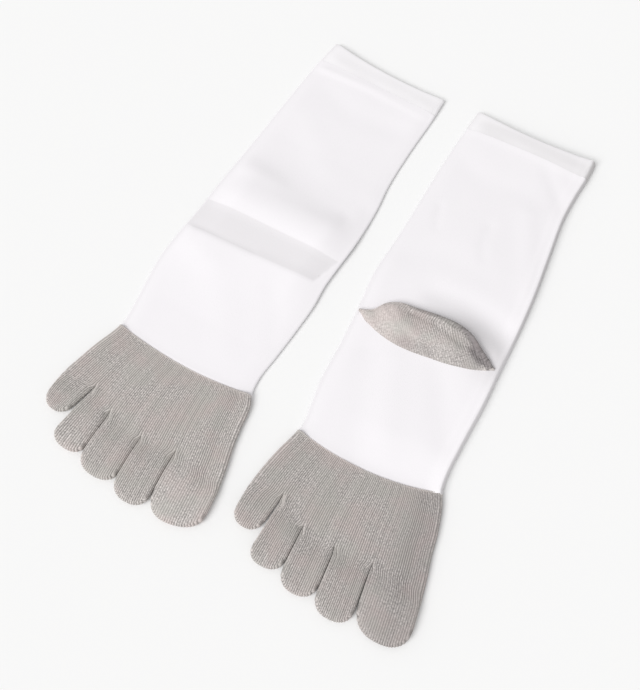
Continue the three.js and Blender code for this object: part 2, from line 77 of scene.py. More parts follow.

# Each seam is its place along y at the left side, the middle and the right side. The outline's
# rows are y, left, right, and the lift's are y and the height of the underside. `loft` is the
# air left between the panels, `sag` is how far they sink over a mouth beneath them, and `sides`
# is how thick the left and right fold are as a part of the knit's own. `fold` is the right one's
# shape. Shades go from 0 to 1: the welt's at its top and at its seam, the leg's at the foot and
# at the cuff, and `tone` is painted shade on the grey yarn at places along x, darker where the
# light falls off. `painted_pocket_shadow` is the line along which a shadow of the pocket is painted
# on the white cloth, `wave` is how uneven the cloth is, and `phase` is where its waves start.
RIGHT = {
    "name": "right",
    "place": (-65.4, -81.5, -1.69),
    "instep_up": True,
    "phase": 0.6,
    "cuff_top": (251.7, 246.9, 248.3),
    "cuff_seam": (234, 234, 234),
    "sole_seam": (77, 80, 84.6),
    "leg_seam": (100.2, 102.3, 104.3),
    "border": (-2.4, -4.7, 0.4),
    "outline": [
        (-56, -58.5, 61.3), (-45, -57.9, 58.8), (-32, -55, 55.2), (-20, -52, 52.8),
        (-5, -47.2, 50.2), (2, -46.2, 46.8), (12, -47.2, 45.2), (30, -50, 46.6),
        (50, -52.6, 48), (70, -52, 48.8), (85, -50.8, 47.8), (100, -50, 48.4), (120, -49.3, 49.6),
        (150, -48.2, 48.7), (170, -47.5, 46.4), (200, -46.3, 45.8), (230, -44.6, 46.6),
        (252, -42, 46.2),
    ],
    "lift": [
        (28, 0), (50, 0.7), (64, 1.5), (77, 2.2), (88, 2.9), (102, 3.8), (110, 4.5), (120, 4.2),
        (129, 2.9), (138, 1.5), (150, 0.5), (166, 0),
    ],
    "loft": 0.0,
    "sag": 0.6,
    "sides": (0.58, 0.6),
    "fold": ROUND_FOLD,
    "cuff_sides": (0.75, 0.84),
    "cuff_fold": ROUND_FOLD,
    "welt_shade": (0.0, 0.22),
    "leg_shade": (0.0, 0.22),
    "painted_pocket_shadow": [],
    "tone": [(-60, 0.0), (60, 0.0)],
    # x, seam to the sole, seam to the leg, fold, roll of the fold, crown
    "heel": [
        (-45, 80.5, 93, 95.5, 0.7, 0), (-43, 77.4, 100.5, 108, 0.9, 0),
        (-30, 77.7, 101, 111, 1, 0), (-15, 78.6, 101.6, 113, 1, 0),
        (0, 80.1, 102.3, 114, 1, 0), (15, 81.8, 103, 114, 1, 0),
        (28, 83.2, 103.6, 112.5, 1, 0), (39, 84.5, 104.1, 110, 0.9, 0),
        (41, 88, 100, 102.5, 0.7, 0),
    ],
    "roots": [(-58, -41.5), (-36, -42), (-19, -50), (5, -53), (27, -50), (61, -53)],
    # root left, root right, tip left, tip right, end, roundness of the end, and how far the end
    # is drawn back at its middle and more at its right than at its left
    "toes": [
        (27.1, 61.2, 31.1, 64.8, -88.4, 15, 1.8, 3.4), (5.1, 26.9, 7.5, 31, -90, 11, 0.8, 0.5),
        (-18.9, 4.9, -18.3, 7.4, -87.8, 11, 1.2, 0.25),
        (-35.9, -19.1, -41.3, -18.5, -83, 9.5, 1.1, -0.6),
        (-57.6, -36.1, -58, -41.4, -67.4, 9, 1.0, -0.7),
    ],
    # points along the crease, its width, its height at both ends: a trough if below zero
    "creases": [
        ([(-42, 228), (0, 230), (42, 229)], 2.6, 0.75, 0.35),
        ([(-36, 135), (0, 131), (18, 131), (33, 134)], 6.5, 0.3, -0.8),
        ([(10, 140), (30, 143), (44, 146)], 8, -0.1, -0.55),
        ([(-42, 132), (-18, 132)], 8, 0.8, 0.5),
        ([(-47, 79.4), (-25, 80), (-3, 82)], 2.2, -0.5, -0.3),
        ([(-40, 112), (0, 115), (30, 118)], 9, 0.3, 0.35),
        ([(-42, 69), (-24, 66)], 9, 0.5, 0.2),
        ([(-30, 190), (-10, 172), (4, 160)], 11, 0.35, 0.35),
        ([(-20, 60), (0, 44), (16, 20)], 10, 0.3, 0.3),
        ([(22, 66), (34, 50), (40, 36)], 7, -0.3, -0.3),
        ([(-30, 214), (0, 205), (30, 210)], 9, -0.25, -0.45),
    ],
    "wave": 0.3,
}

LEFT = {
    "name": "left",
    "place": (62.2, -82.1, 1.69),
    "instep_up": False,
    "phase": 2.9,
    "cuff_top": (252.0, 247.7, 249.5),
    "cuff_seam": (236, 236, 234),
    "sole_seam": (79, 73, 84),
    "leg_seam": (82.5, 89, 85.6),
    "border": (-3.5, -6.8, 1.1),
    "outline": [
        (-56, -57, 58.9), (-45, -56, 56.8), (-32, -54, 53.9), (-20, -51.3, 51.9),
        (-5, -46.9, 47.8), (2, -45.4, 44.8), (12, -46.5, 43.5), (30, -48.8, 43.8),
        (60, -49, 45.3), (85, -50.2, 45.4), (110, -51.8, 45.8), (140, -49.6, 45.1),
        (170, -48.2, 42.9), (200, -47, 40.8), (220, -45.6, 41.7), (236, -44, 43.4),
        (254, -42.3, 43.9),
    ],
    "lift": [(0, 0), (205, 0), (232, 0.5), (254, 1.1)],
    "loft": 1.8,
    "sag": 0,
    "sides": (0.58, 1.4),
    # the last number is how full the painted shade is on this fold, which faces away from the light
    "fold": (0.15, 1.4, 0.8, 1.0),
    "cuff_sides": (0.75, 1.4),
    "cuff_fold": (0.2, 1.5, 1.2, 1.0),
    "welt_shade": (0.3, 0.75),
    "leg_shade": (0.08, 0.33),
    # the line beside the pocket's fold along which its shadow is painted on the white cloth
    "painted_pocket_shadow": [(-6, 105), (10, 105), (24, 102), (34, 97.5), (40, 91), (43, 86)],
    # painted shade: the grey yarn is made darker towards the right, where the light falls off
    "tone": [(-60, 0.065), (-20, 0.11), (20, 0.16), (45, 0.39), (60, 0.44)],
    "heel": [
        (-48.8, 81.9, 82.3, 82.9, 0.3, 0.5), (-46, 79.8, 81.5, 83.4, 0.5, 1.5),
        (-43, 77.6, 81.3, 84.6, 0.7, 2.5), (-40.5, 76.2, 81.9, 86.2, 0.9, 3.3),
        (-36, 74, 84.4, 92.6, 1.2, 4.1),
        (-28, 71.7, 86.4, 97.2, 1.5, 4.7), (-18, 70.2, 87.1, 98.5, 1.6, 4.9),
        (-8, 70.3, 87.3, 99.4, 1.7, 4.9), (2, 71.4, 87.4, 100, 1.9, 4.9),
        (12, 72.6, 87, 99.4, 2.2, 4.8), (21, 74.4, 86.4, 96.6, 2.2, 4.4),
        (29, 76.7, 85, 91.3, 1.8, 3.7), (37, 80.8, 83.2, 86.4, 1.2, 2.9),
        (39.4, 82.6, 83.8, 85.2, 0.6, 1.2), (41, 84, 84.3, 84.8, 0.3, 0.4),
    ],
    "roots": [(-56, -41), (-35.5, -41), (-17.5, -51), (4, -53), (26, -51), (59, -53)],
    "toes": [
        (26.1, 58.6, 30.3, 63.3, -88, 15, 0.3, 0.8), (4.1, 25.9, 6.4, 30.1, -89.6, 11, 0.6, 0.6),
        (-17.4, 3.9, -16.6, 6.2, -86.7, 11, 0.65, 0.35),
        (-35.4, -17.6, -38.4, -16.9, -81.8, 9.5, 0.55, 0.2),
        (-56, -35.6, -56.5, -38.7, -67.5, 9, 0.4, -0.5),
    ],
    "creases": [
        ([(-35, 173), (-33, 165), (-30.5, 157)], 2.9, -0.28, -0.2),
        ([(0, 173), (0.5, 160), (5, 150)], 3.6, -0.34, -0.24),
        ([(18, 227), (29, 215), (40, 203)], 5.2, -0.35, -0.6),
        ([(18, 192), (30, 165), (40, 140)], 7, 0.5, 0.5),
        ([(-10, 113), (8, 114.5), (26, 111), (46, 105)], 9, -0.9, -1.6),
        ([(-4, 98), (16, 98), (36, 92)], 7, 0.8, 1.45),
        ([(-31, 60), (-22, 32), (-10, -2)], 9, -0.45, -0.45),
        ([(12, 68), (24, 48), (34, 30)], 9, -0.6, -0.6),
        ([(-14, 62), (-4, 30), (6, 8)], 8, 0.3, 0.3),
        ([(34, 239), (42, 241)], 1.2, -0.5, -0.5),
        ([(-40, 132), (-18, 140), (8, 138)], 10, -0.3, -0.4),
        ([(-38, 212), (-14, 200), (8, 206)], 9, -0.3, -0.3),
    ],
    "wave": 0.3,
}

# ---- How the white cloth lies, shows what is beneath it, and where shade is painted on it ----

MOUTH_RIGHT = (41, 47)  # where the hidden pocket's mouth ends, at the sole and at the leg
MOUTH_EDGE = 1.3  # how soft the mouth's edges are where they show through
MOUTH_END = 1.5
SAG_EDGE = 7.0  # how softly the cloth sinks into the mouth, and how much of that at the sole
SAG_START = 0.55
WELT_PULL = 3.0  # how far from the welt's seam the cloth is pulled up or down to it
WELT_RIM = 0.6  # how far the welt's rounded top reaches past its last row
BORDER_RISE = (0.3, 2.5)  # how much thicker the leg is at the colour change, and how far from it
POCKET_PAINTED_SHADOW = (0.9, 1.45)  # how full the painted shadow of the pocket is on the white cloth, from end to end
POCKET_SHADOW_WIDTH = 13
LEFT_FOLD_SHADE = 0.75  # how full the painted shade is on the fold on the left, which faces the light, and how wide that is
LEFT_FOLD_SHADE_WIDTH = 3
WHITE_TINT_AND_SHADE = 0.383  # the fullest that the white's darkening is, away from the right fold's painted shade
FOOT_FOLD_SHADE = 0.62  # how much of the right fold's painted shade there is at the foot
FINE_STITCH = (0.9, 0.75)  # width and height of a stitch of the white cloth
UNDERSIDE_AT = 300  # the stitches of the underside are counted from here

# ---- The heel pockets ----

# The pocket's wall from the sole's seam on: part of its depth, and how far it has risen or dropped.
POCKET_RISE = [(0.16, 0.3), (0.4, 0.8), (0.66, 1)]
POCKET_DROP = [(0.22, 0.6), (0.36, 1), (0.6, 1)]
POCKET_FOLD_TURNS = (90, 45, 0, -45, -90)

# The visible pocket's creases: points along each, its width, and its height or depth.
POCKET_CREASES = [
    ([(-37, 90), (-30, 85), (-23, 80.5), (-14, 75.5)], 1.8, 0.5),
    ([(-31, 92), (-23, 87), (-15, 82.5), (-5, 77.5)], 4.2, 1.1),
    ([(-42, 86), (-36, 81), (-29, 75.5)], 3.2, -0.8),
    ([(-21, 95.6), (0, 96), (14, 93.4), (29, 87.8)], 1.2, 0.8),
    ([(-19, 93), (-2, 92.6), (9, 90.2), (18, 87.6)], 2.0, -0.8),
    ([(20, 91.5), (29, 87), (35, 84)], 2.4, -1.2),
    ([(-4, 83), (12, 79)], 5, 0.3),
]
POCKET_START = 0.6  # how deep in the leg's cloth its wall starts
POCKET_GROOVES = 0.8  # its grooves are less deep than the forefoot's

# How far its ribs stand out: at its tail and beyond it, then how much more there is past the
# diagonal fold, and how much less where it is pulled flat and beyond its upper fold.
TAIL_RELIEF = (0.08, 0.45)
DIAGONAL_RELIEF = 0.32
PULLED_FLAT = ([(-22, 82), (0, 80.5), (12, 82)], 4, 0.6)
BEYOND_RELIEF = 0.45

# How dark its colour is made: the right side, the strip beyond the fold and the lines get painted
# shade, and the lit end painted light. Each change along x is by how much, from where and over how
# far, and each line of painted shade is its points, its width and how much darker it is.
POCKET_TONE = 0.1
TAIL_TONE = (0.03, -30, 12)
RIGHT_PAINTED_SHADE = (0.28, -5, 32)
END_PAINTED_LIGHT = (-0.34, 30, 5)
TIP_TONE = (-0.22, 32, 4)
FOLD_TONE = (0.15, -24, 10)
BEYOND_PAINTED_SHADE = 0.48
BEYOND_STRIP = (2.4, 5.2)  # how wide the strip beyond the fold is, at the left and at the right
PAINTED_SHADE_LINES = [
    ([(26, 88), (32, 84.4)], 3.8, 0.8),
    ([(-16, 74.5), (-8, 75), (1, 75.5)], 3.6, 0.3),
]

# ---- Fineness of the meshes ----

RIB_POINTS = 5  # points across one rib
RIBS_ACROSS = 84  # ribs on one panel of the forefoot
ROLL_STEPS = 24  # round a folded side or a toe's edge
FOREFOOT_ROWS = 28
TOE_ROWS = 24
LEG_COLUMNS = 60
LEG_ROLL_STEPS = 16
LEG_SPACING = 2.0  # between rows of the leg and of the welt, outside and inside
LEG_INSIDE = 6
CUFF_SPACING = 1.4
CUFF_INSIDE = 4
END_ROW = 0.1  # the last row before a seam, so that the cloth looks even right up to it
HEEL_COLUMNS = 330
HEEL_STATIONS = 130
HEEL_PITCH = 1.24  # from one rib of the pocket to the next
HEEL_LEAN = 38  # degrees that the visible pocket's ribs lean, because it is pulled askew
HEEL_LEAN_BACK = 8  # and how far they lean the other way past the middle of its depth
HEEL_LEAN_TURN = 0.53  # the part of its depth at which they turn
POCKET_TIP = 0.35  # how thick its wall is at both tips, against 1 between them
STITCH = 0.8  # height of one stitch of the grey knit
UNDER_RELIEF = 0.35  # how far the ribs stand out on the underside, against 1 on top
BORDER_RELIEF = 0.6  # and right at the colour change

# ---- The toes ----

TUCK = 1.5  # how far in from a toe's outline its top panel ends and its rolled edge starts
TOE_PUFF = 5.5  # height of a toe
TOE_WAIST = 0.45  # where a toe is widest, as a part of its height
TOE_END_POWER = 2.3  # its end is a little squarer than round
TOE_OUTLINE_POINTS = (70, 140)  # on each side of a toe, and round its end
ROLL_LEFT = 1.6  # a toe's left edge is crisp, and its right edge slopes down gently
ROLL_RIGHT = 2.7
ROLL_END = 4.6
TOE_TILT = 0.3  # its top panel leans down to the right
TOE_WAVE = 0.12  # and is this uneven
TOE_UNDER = 1.25  # its underside is down on the floor before its top is full
TOE_GROWN = 16  # how far from the roots a toe has its full height
TOE_DROOP = (0.6, 14)  # how much lower its end is, and over how far
BIG_TOE_RELIEF = 0.72  # the big toe's ribs are stretched flatter
EDGE_REACH = (10, 4)  # how far along a toe its edge takes shape, at the foot's side and at a gap
SMALLEST = 1e-3  # keeps a radius above 0

# Where two toes part: how high, how far out and how wide the ring is, how deep and wide the pit
# in it is, and the crease that runs on from it: its points, width, and depth at both ends.
PINCH_RING = (0.5, 2.3, 1.0)
PINCH_PIT = (0.5, 1.3)
PINCH_CREASE = ([(0.8, 0.8), (4.5, 1.6), (9, -0.6)], 1.1, -0.75, -0.35)

# ---- The stitches along the colour change, in metres ----

LINKING = {"Spacing": 0.00095, "Stitch Length": 0.0013, "Yarn Radius": 0.00036, "Slant": 0.35}
LINKING_ASIDE = 0.1  # mm past the colour change
LINKING_SUNK = 0.22  # mm into the cloth
LINKING_LOWEST = 0.3  # mm above the floor


# ---- Curves ----

def smooth(value):
    """0 below 0, 1 above 1 and a soft step between."""
    value = np.clip(value, 0.0, 1.0)
    return value * value * (3 - 2 * value)


def ramp(value, start, length):
    """0 up to the start, 1 past the length from there, and a soft step between."""
    return smooth((value - start) / length)


def bell(away, width):
    """1 right at a place, and falling off over about the width."""
    return np.exp(-((away / width) ** 2))


def mix(a, b, part):
    return a + (b - a) * part


def through(rows):
    """A smooth curve through rows of a place and its values."""
    table = np.array(rows, float)
    places, values = table[:, 0], table[:, 1:]
    rises = np.diff(values, axis=0) / np.diff(places)[:, None]
    slopes = np.vstack([rises[:1], (rises[1:] + rises[:-1]) / 2, rises[-1:]])

    def at(where):
        where = np.clip(np.asarray(where, float), places[0], places[-1])
        i = np.clip(np.searchsorted(places, where, side="right") - 1, 0, len(places) - 2)
        step = (places[i + 1] - places[i])[..., None]
        p = (where - places[i])[..., None] / step
        start = (1 + 2 * p) * (1 - p) ** 2 * values[i] + p * (1 - p) ** 2 * step * slopes[i]
        end = p * p * (3 - 2 * p) * values[i + 1] + p * p * (p - 1) * step * slopes[i + 1]
        return start + end

    return at


def bow(seam, across):
    """How far along y a bowed seam is, at `across` from -1 on the left to 1 on the right."""
    left, middle, right = seam
    return middle + (right - left) / 2 * across + ((left + right) / 2 - middle) * across**2


def line_distance(x, y, points):
    """How far each place is from a line of points, and how far along the line from 0 to 1."""
    best, along = np.hypot(x - points[0][0], y - points[0][1]), np.zeros(np.shape(x))
    for i, ((x0, y0), (x1, y1)) in enumerate(zip(points, points[1:])):
        dx, dy = x1 - x0, y1 - y0
        part = np.clip(((x - x0) * dx + (y - y0) * dy) / (dx * dx + dy * dy), 0, 1)
        away = np.hypot(x - x0 - part * dx, y - y0 - part * dy)
        along = np.where(away < best, (i + part) / (len(points) - 1), along)
        best = np.minimum(best, away)
    return best, along


def crease(x, y, points, width, start, end):
    """A soft ridge or trough along a line of points, from one height to the other."""
    away, along = line_distance(x, y, points)
    return mix(start, end, along) * bell(away, width)


def slow_waves(x, y, phase):
    """Soft unevenness of cloth that was pressed flat, about 1 high and low."""
    return (
        np.sin(x / 11 + y / 27 + phase)
        + np.sin(y / 17 - x / 29 + 2.1 * phase)
        + np.sin(x / 19 + y / 9.5 + 3.7 * phase) * 0.5
    ) / 2.5


class Sock:
    """One sock's curves, and how its top panel rises and dips."""

    def __init__(self, cut):
        self.cut = cut
        self.name = cut["name"]
        self.outline = through(cut["outline"])
        self.lift_curve = through(cut["lift"])
        self.root_curve = through(cut["roots"])
        self.heel = through(cut["heel"])
        self.painted_shade_curve = through(cut["tone"])
        self.phase = cut["phase"]

    def sides(self, y):
        found = self.outline(y)
        return found[..., 0], found[..., 1]

    def seam(self, name, x, half_width=HALF_WIDTH):
        """How far along y a seam is at x."""
        return bow(self.cut[name], x / half_width)

    def lift(self, y):
        """The height of the underside."""
        return np.maximum(0.0, self.lift_curve(y)[..., 0])

    def root_line(self, across):
        """Where the toes start, at `across` from -1 to 1."""
        left, right = self.sides(self.cut["outline"][0][0])
        return self.root_curve(mix(left, right, (across + 1) / 2))[..., 0]

    def turned(self, points, x=0.0, y=0.0):
        """Points turned from the sock's own directions to the pair's, then moved by x and y."""
        turn = math.radians(self.cut["place"][2])
        turned = np.array(points, float)
        turned[..., 0] = x + points[..., 0] * math.cos(turn) - points[..., 1] * math.sin(turn)
        turned[..., 1] = y + points[..., 0] * math.sin(turn) + points[..., 1] * math.cos(turn)
        return turned

    def placed(self, points):
        """From the sock's own millimetres to metres in the pair's frame."""
        return self.turned(points, *self.cut["place"][:2]) * MM

    def mouth(self, x, y, edge=MOUTH_EDGE):
        """1 over the mouth of a pocket that is folded beneath, and 0 off it."""
        if not self.cut["sag"]:
            return np.zeros(np.shape(x))
        sole, leg = self.seam("sole_seam", x), self.seam("leg_seam", x)
        inside = smooth((y - sole + edge / 3) / edge) * smooth((leg + edge / 3 - y) / edge)
        right = mix(*MOUTH_RIGHT, np.clip((y - sole) / (leg - sole), 0, 1))
        return inside * smooth((right - x) / MOUTH_END)

    def side_thickness(self, knit, parts, y):
        """How thick both folded sides are. The leg's and the welt's are alike at their seam."""
        near = bell(y - self.cut["cuff_seam"][1], 5)
        found = []
        for part, leg, cuff in zip(parts, self.cut["sides"], self.cut["cuff_sides"]):
            at_seam = (LEG["side"] * leg + CUFF["side"] * cuff) / 2
            found.append(mix(knit["side"] * part, at_seam, near))
        return found

    def wave(self, x, y):
        return self.cut["wave"] * slow_waves(x, y, self.phase)

    def loft(self, x, y):
        """How much air is left between the panels: none on the left and at the colour change."""
        return self.cut["loft"] * ramp(x, -45, 60) * smooth((y - self.seam("border", x)) / 30)

    def leg_relief(self, x, y):
        """How far the leg's top panel rises or dips."""
        total = self.wave(x, y) + self.loft(x, y)
        for row in self.cut["creases"]:
            total = total + crease(x, y, *row)
        into_mouth = (y - self.seam("sole_seam", x)) / SAG_EDGE
        sagged = self.mouth(x, y, SAG_EDGE) * mix(SAG_START, 1.0, smooth(into_mouth))
        # the leg is pulled up to the welt, and is as thick as the forefoot at the colour change
        to_cuff = np.maximum(0, self.seam("cuff_seam", x) - y)
        to_border = np.maximum(0, y - self.seam("border", x))
        total = total + WELT_STEP * bell(to_cuff, WELT_PULL)
        total = total + BORDER_RISE[0] * bell(to_border, BORDER_RISE[1])
        return total - self.cut["sag"] * sagged

    def cuff_relief(self, x, y):
        """How far the welt's top panel rises or dips: it is pulled down to its seam."""
        above = y - self.seam("cuff_seam", x, HALF_CUFF)
        ripple = 0.2 * np.sin(x / 5.3 + self.phase) * np.exp(-above / 6)
        pulled = WELT_STEP * bell(above, WELT_PULL)
        calmer = 0.35 * slow_waves(x, y * 0.6, self.phase + 1)
        waves = mix(self.wave(x, y), calmer, smooth(above / 8))
        return self.loft(x, y) + waves - pulled + ripple * smooth(above / 4)

    def forefoot_relief(self, x, y):
        """How far the forefoot's top panel rises or dips: it is pinched where two toes part."""
        total = 0.22 * slow_waves(x, y, self.phase + 4)
        ring_height, ring_radius, ring_width = PINCH_RING
        branch, *shape = PINCH_CREASE
        for root_x, root_y in self.cut["roots"][1:-1]:
            away = np.hypot(x - root_x, y - root_y)
            total = total + ring_height * bell(away - ring_radius, ring_width)
            points = [(root_x + along, root_y + up) for along, up in branch]
            total = total + crease(x, y, points, *shape)
            total = total - PINCH_PIT[0] * bell(away, PINCH_PIT[1])
        return total

    def welt_shade(self, x, y):
        """How much darker the welt is made: less at its top, more above its seam, none at the far
        left, and the left fold's painted shade.
        """
        above = y - self.seam("cuff_seam", x, HALF_CUFF)
        top, seam = self.cut["welt_shade"]
        shade = mix(seam, top, ramp(above, 8.5, 3)) * ramp(x, -44, 16)
        return np.maximum(shade, self.left_fold_painted_shade(x, y))

    def leg_shade(self, x, y):
        """How much darker the white cloth is made: more towards the cuff, over a mouth that shows
        through, with a painted shadow of the pocket beside it and the painted shade of the left
        fold."""
        foot, leg = self.cut["leg_shade"]
        shade = np.maximum(mix(foot, leg, ramp(y, 60, 110)), self.mouth(x, y))
        # a shadow of the pocket is painted on the white cloth beyond its fold
        if self.cut["painted_pocket_shadow"]:
            away, along = line_distance(x, y, self.cut["painted_pocket_shadow"])
            pulled = mix(*POCKET_PAINTED_SHADOW, smooth(2 * along)) * bell(away, POCKET_SHADOW_WIDTH)
            shade = np.maximum(shade, pulled)
        return np.maximum(shade, self.left_fold_painted_shade(x, y))

    def left_fold_painted_shade(self, x, y):
        """Painted shade that darkens the fold on the left side, which faces the light."""
        return LEFT_FOLD_SHADE * smooth(1 - (x - self.sides(y)[0]) / LEFT_FOLD_SHADE_WIDTH)

    def tone(self, x):
        """Painted shade: the grey made darker across the sock, where the light falls off."""
        return self.painted_shade_curve(x)[..., 0]


SOCKS = [Sock(RIGHT), Sock(LEFT)]


# ---- Patches of points, sewn into one mesh ----

def rolled(top, low, outer, middle, turn, steps, power=2.0):
    """Points round a folded edge: from the top panel over the outer line to the underside. Its
    upper half is an arc at a power of 2, and straighter the nearer that comes to 1."""
    share = 1 - 2 * np.arange(steps + 1) / steps
    angle = turn[:, None] * np.abs(share)
    part = ((1 - np.cos(angle)) / (1 - np.cos(turn))[:, None])[..., None]
    rise = np.sin(angle) / np.sin(turn)[:, None]
    straighter = np.where(share >= 0, 2 / power, 1.0)
    part, rise = 1 - (1 - part) ** straighter[:, None], rise**straighter
    inner = np.where((share >= 0)[None, :, None], top[:, None, :], low[:, None, :])
    points = np.empty(inner.shape)
    points[..., :2] = outer[:, None, :] + (inner[..., :2] - outer[:, None, :]) * part
    points[..., 2] = middle[:, None] + (inner[..., 2] - middle[:, None]) * rise
    return points


class FlatTube:
    """Both panels and both folded sides of a flat tube, one row of points for each line of y."""

    def __init__(
        self, sock, knit, lines, relief, roll_steps, inset=0.0, sides=(1.0, 1.0), fold=ROUND_FOLD
    ):
        columns = lines.shape[1] - 1
        across = np.linspace(-1, 1, columns + 1)
        left, right = sock.sides(lines)
        thick = sock.side_thickness(knit, sides, lines)
        waist, power, edge = fold[:3]
        rolls = [EDGE * thick[0][:, :1] / 2, edge * thick[1][:, :1] / 2]
        x = mix(left + rolls[0], right - rolls[1], (across + 1) / 2)
        inward = np.minimum(x - left - rolls[0], right - rolls[1] - x)
        side = np.where(across < 0, *thick)
        swell = (side - knit["flat"]) * np.clip(1 - inward / FADE, 0, 1) ** 2
        # a side that is held up by what lies beneath sinks to the floor over its last stretch
        up = sock.lift(lines) * mix(SUNK, 1.0, smooth(inward / HANG))
        dips = relief(x, lines) * mix(0.35, 1, smooth(inward / 6))
        high = up + knit["flat"] + swell + dips - inset
        self.top = np.stack([x, lines, high], -1)
        self.low = np.stack([x, lines, up + inset], -1)
        self.left = self.side(0, left, inset, roll_steps, *ROUND_FOLD[:2])
        self.right = self.side(-1, right, -inset, roll_steps, waist, power)
        self.rows = len(lines)

    def side(self, column, outer, inset, steps, waist, power):
        top, low = self.top[:, column], self.low[:, column]
        line = np.stack([outer[:, column] + inset, top[:, 1]], -1)
        turn = np.full(len(top), math.pi / 2)
        return rolled(top, low, line, mix(low[:, 2], top[:, 2], waist), turn, steps, power)

    def parts(self):
        return {"top": self.top, "low": self.low, "left": self.left, "right": self.right}


def rim(outer, inner, row, bulge, steps):
    """Patches that round off the end of a tube, between its outer and inner faces."""
    patches = {}
    for part, points in outer.parts().items():
        start, end = points[row], inner.parts()[part][row]
        turns = [math.pi * i / steps for i in range(steps + 1)]
        rows = [(start + end) / 2 + (start - end) / 2 * math.cos(turn) for turn in turns]
        patch = np.stack(rows)
        patch[..., 1] += bulge * np.sin(turns)[:, None]
        patches[part] = patch
    return patches


class Patchwork:
    """Patches whose edges meet point for point, with the marks that the knit follows."""

    MARKS = ("wale", "course", "relief", "veil")

    def __init__(self):
        self.points, self.marks, self.quads, self.count = [], [], [], 0

    def add(self, points, wale=0.0, course=0.0, relief=0.0, veil=0.0):
        rows, columns = points.shape[:2]
        index = self.count + np.arange(rows * columns).reshape(rows, columns)
        self.count += rows * columns
        self.points.append(points.reshape(-1, 3))
        marks = [np.broadcast_to(m, (rows, columns)).ravel() for m in (wale, course, relief, veil)]
        self.marks.append(np.stack(marks, -1))
        corners = [index[:-1, :-1], index[:-1, 1:], index[1:, 1:], index[1:, :-1]]
        self.quads.append(np.stack(corners, -1).reshape(-1, 4))

    def sewn(self, name, sock):
        """One smooth mesh with its faces outwards and its doubled points merged."""
        points = sock.placed(np.vstack(self.points))
        quads = np.vstack(self.quads)
        mesh = bpy.data.meshes.new(name)
        mesh.vertices.add(len(points))
        mesh.vertices.foreach_set("co", points.astype(np.float32).ravel())
        mesh.loops.add(quads.size)
        mesh.loops.foreach_set("vertex_index", quads.astype(np.int32).ravel())
        mesh.polygons.add(len(quads))
        mesh.polygons.foreach_set("loop_start", np.arange(0, quads.size, 4, dtype=np.int32))
        marks = np.vstack(self.marks).astype(np.float32)
        for column, mark in enumerate(self.MARKS):
            mesh.attributes.new(mark, "FLOAT", "POINT").data.foreach_set("value", marks[:, column])
        mesh.update(calc_edges=True)
        mesh.validate()
        work = bmesh.new()
        work.from_mesh(mesh)
        bmesh.ops.remove_doubles(work, verts=work.verts, dist=2e-6)
        bmesh.ops.recalc_face_normals(work, faces=work.faces)
        work.to_mesh(mesh)
        work.free()
        mesh.polygons.foreach_set("use_smooth", np.ones(len(mesh.polygons), bool))
        piece = bpy.data.objects.new(name, mesh)
        bpy.context.scene.collection.objects.link(piece)
        return piece


def even_lines(seams, spacing, columns):
    """Lines across a tube from one bowed seam to the next, about `spacing` apart."""
    across = np.linspace(-1, 1, columns + 1)
    lines = [bow(seams[0], across)]
    for start, end in zip(seams, seams[1:]):
        count = max(1, round(abs(end[1] - start[1]) / spacing))
        for step in range(1, count + 1):
            lines.append(mix(bow(start, across), bow(end, across), step / count))
    return np.array(lines)


def shifted(seam, by):
    return tuple(place + by for place in seam)


# ---- Geometry Nodes: raised ribs, and stitches along a seam ----

def socket_key(tree, name):
    return next(s.identifier for s in tree.interface.items_tree if s.name == name)


def new_tree(name, inputs):
    tree = bpy.data.node_groups.new(name, "GeometryNodeTree")
    tree.is_modifier = True
    tree.interface.new_socket("Geometry", in_out="INPUT", socket_type="NodeSocketGeometry")
    for label, kind, value in inputs:
        made = tree.interface.new_socket(label, in_out="INPUT", socket_type=kind)
        if value is not None:
            made.default_value = value
    tree.interface.new_socket("Geometry", in_out="OUTPUT", socket_type="NodeSocketGeometry")
    return tree


def feed(tree, socket, source):
    """Links a socket to where its value comes from, or sets its value."""
    if isinstance(source, bpy.types.NodeSocket):
        tree.links.new(source, socket)
    else:
        socket.default_value = source


def add_node(tree, kind, inputs=(), **settings):
    """A node with its settings, and with pairs of an input's name and what it is fed with."""
    node = tree.nodes.new(kind)
    for key, value in settings.items():
        setattr(node, key, value)
    for key, source in inputs:
        feed(tree, node.inputs[key], source)
    return node


def math_node(tree, operation, *values):
    return add_node(tree, "ShaderNodeMath", enumerate(values), operation=operation).outputs[0]


def vector_node(tree, operation, *inputs):
    return add_node(tree, "ShaderNodeVectorMath", inputs, operation=operation).outputs[0]


def stored(tree, name, kind="FLOAT"):
    """What a Geometry Nodes tree reads of one of the mesh's own attributes."""
    node = add_node(tree, "GeometryNodeInputNamedAttribute", [("Name", name)], data_type=kind)
    return node.outputs["Attribute"]


def finish_tree(tree, geometry, material):
    real = add_node(tree, "GeometryNodeRealizeInstances", [("Geometry", geometry)])
    painted = add_node(
        tree, "GeometryNodeSetMaterial", [("Geometry", real.outputs[0]), ("Material", material)]
    )
    end = tree.nodes.new("NodeGroupOutput")
    tree.links.new(painted.outputs[0], end.inputs["Geometry"])


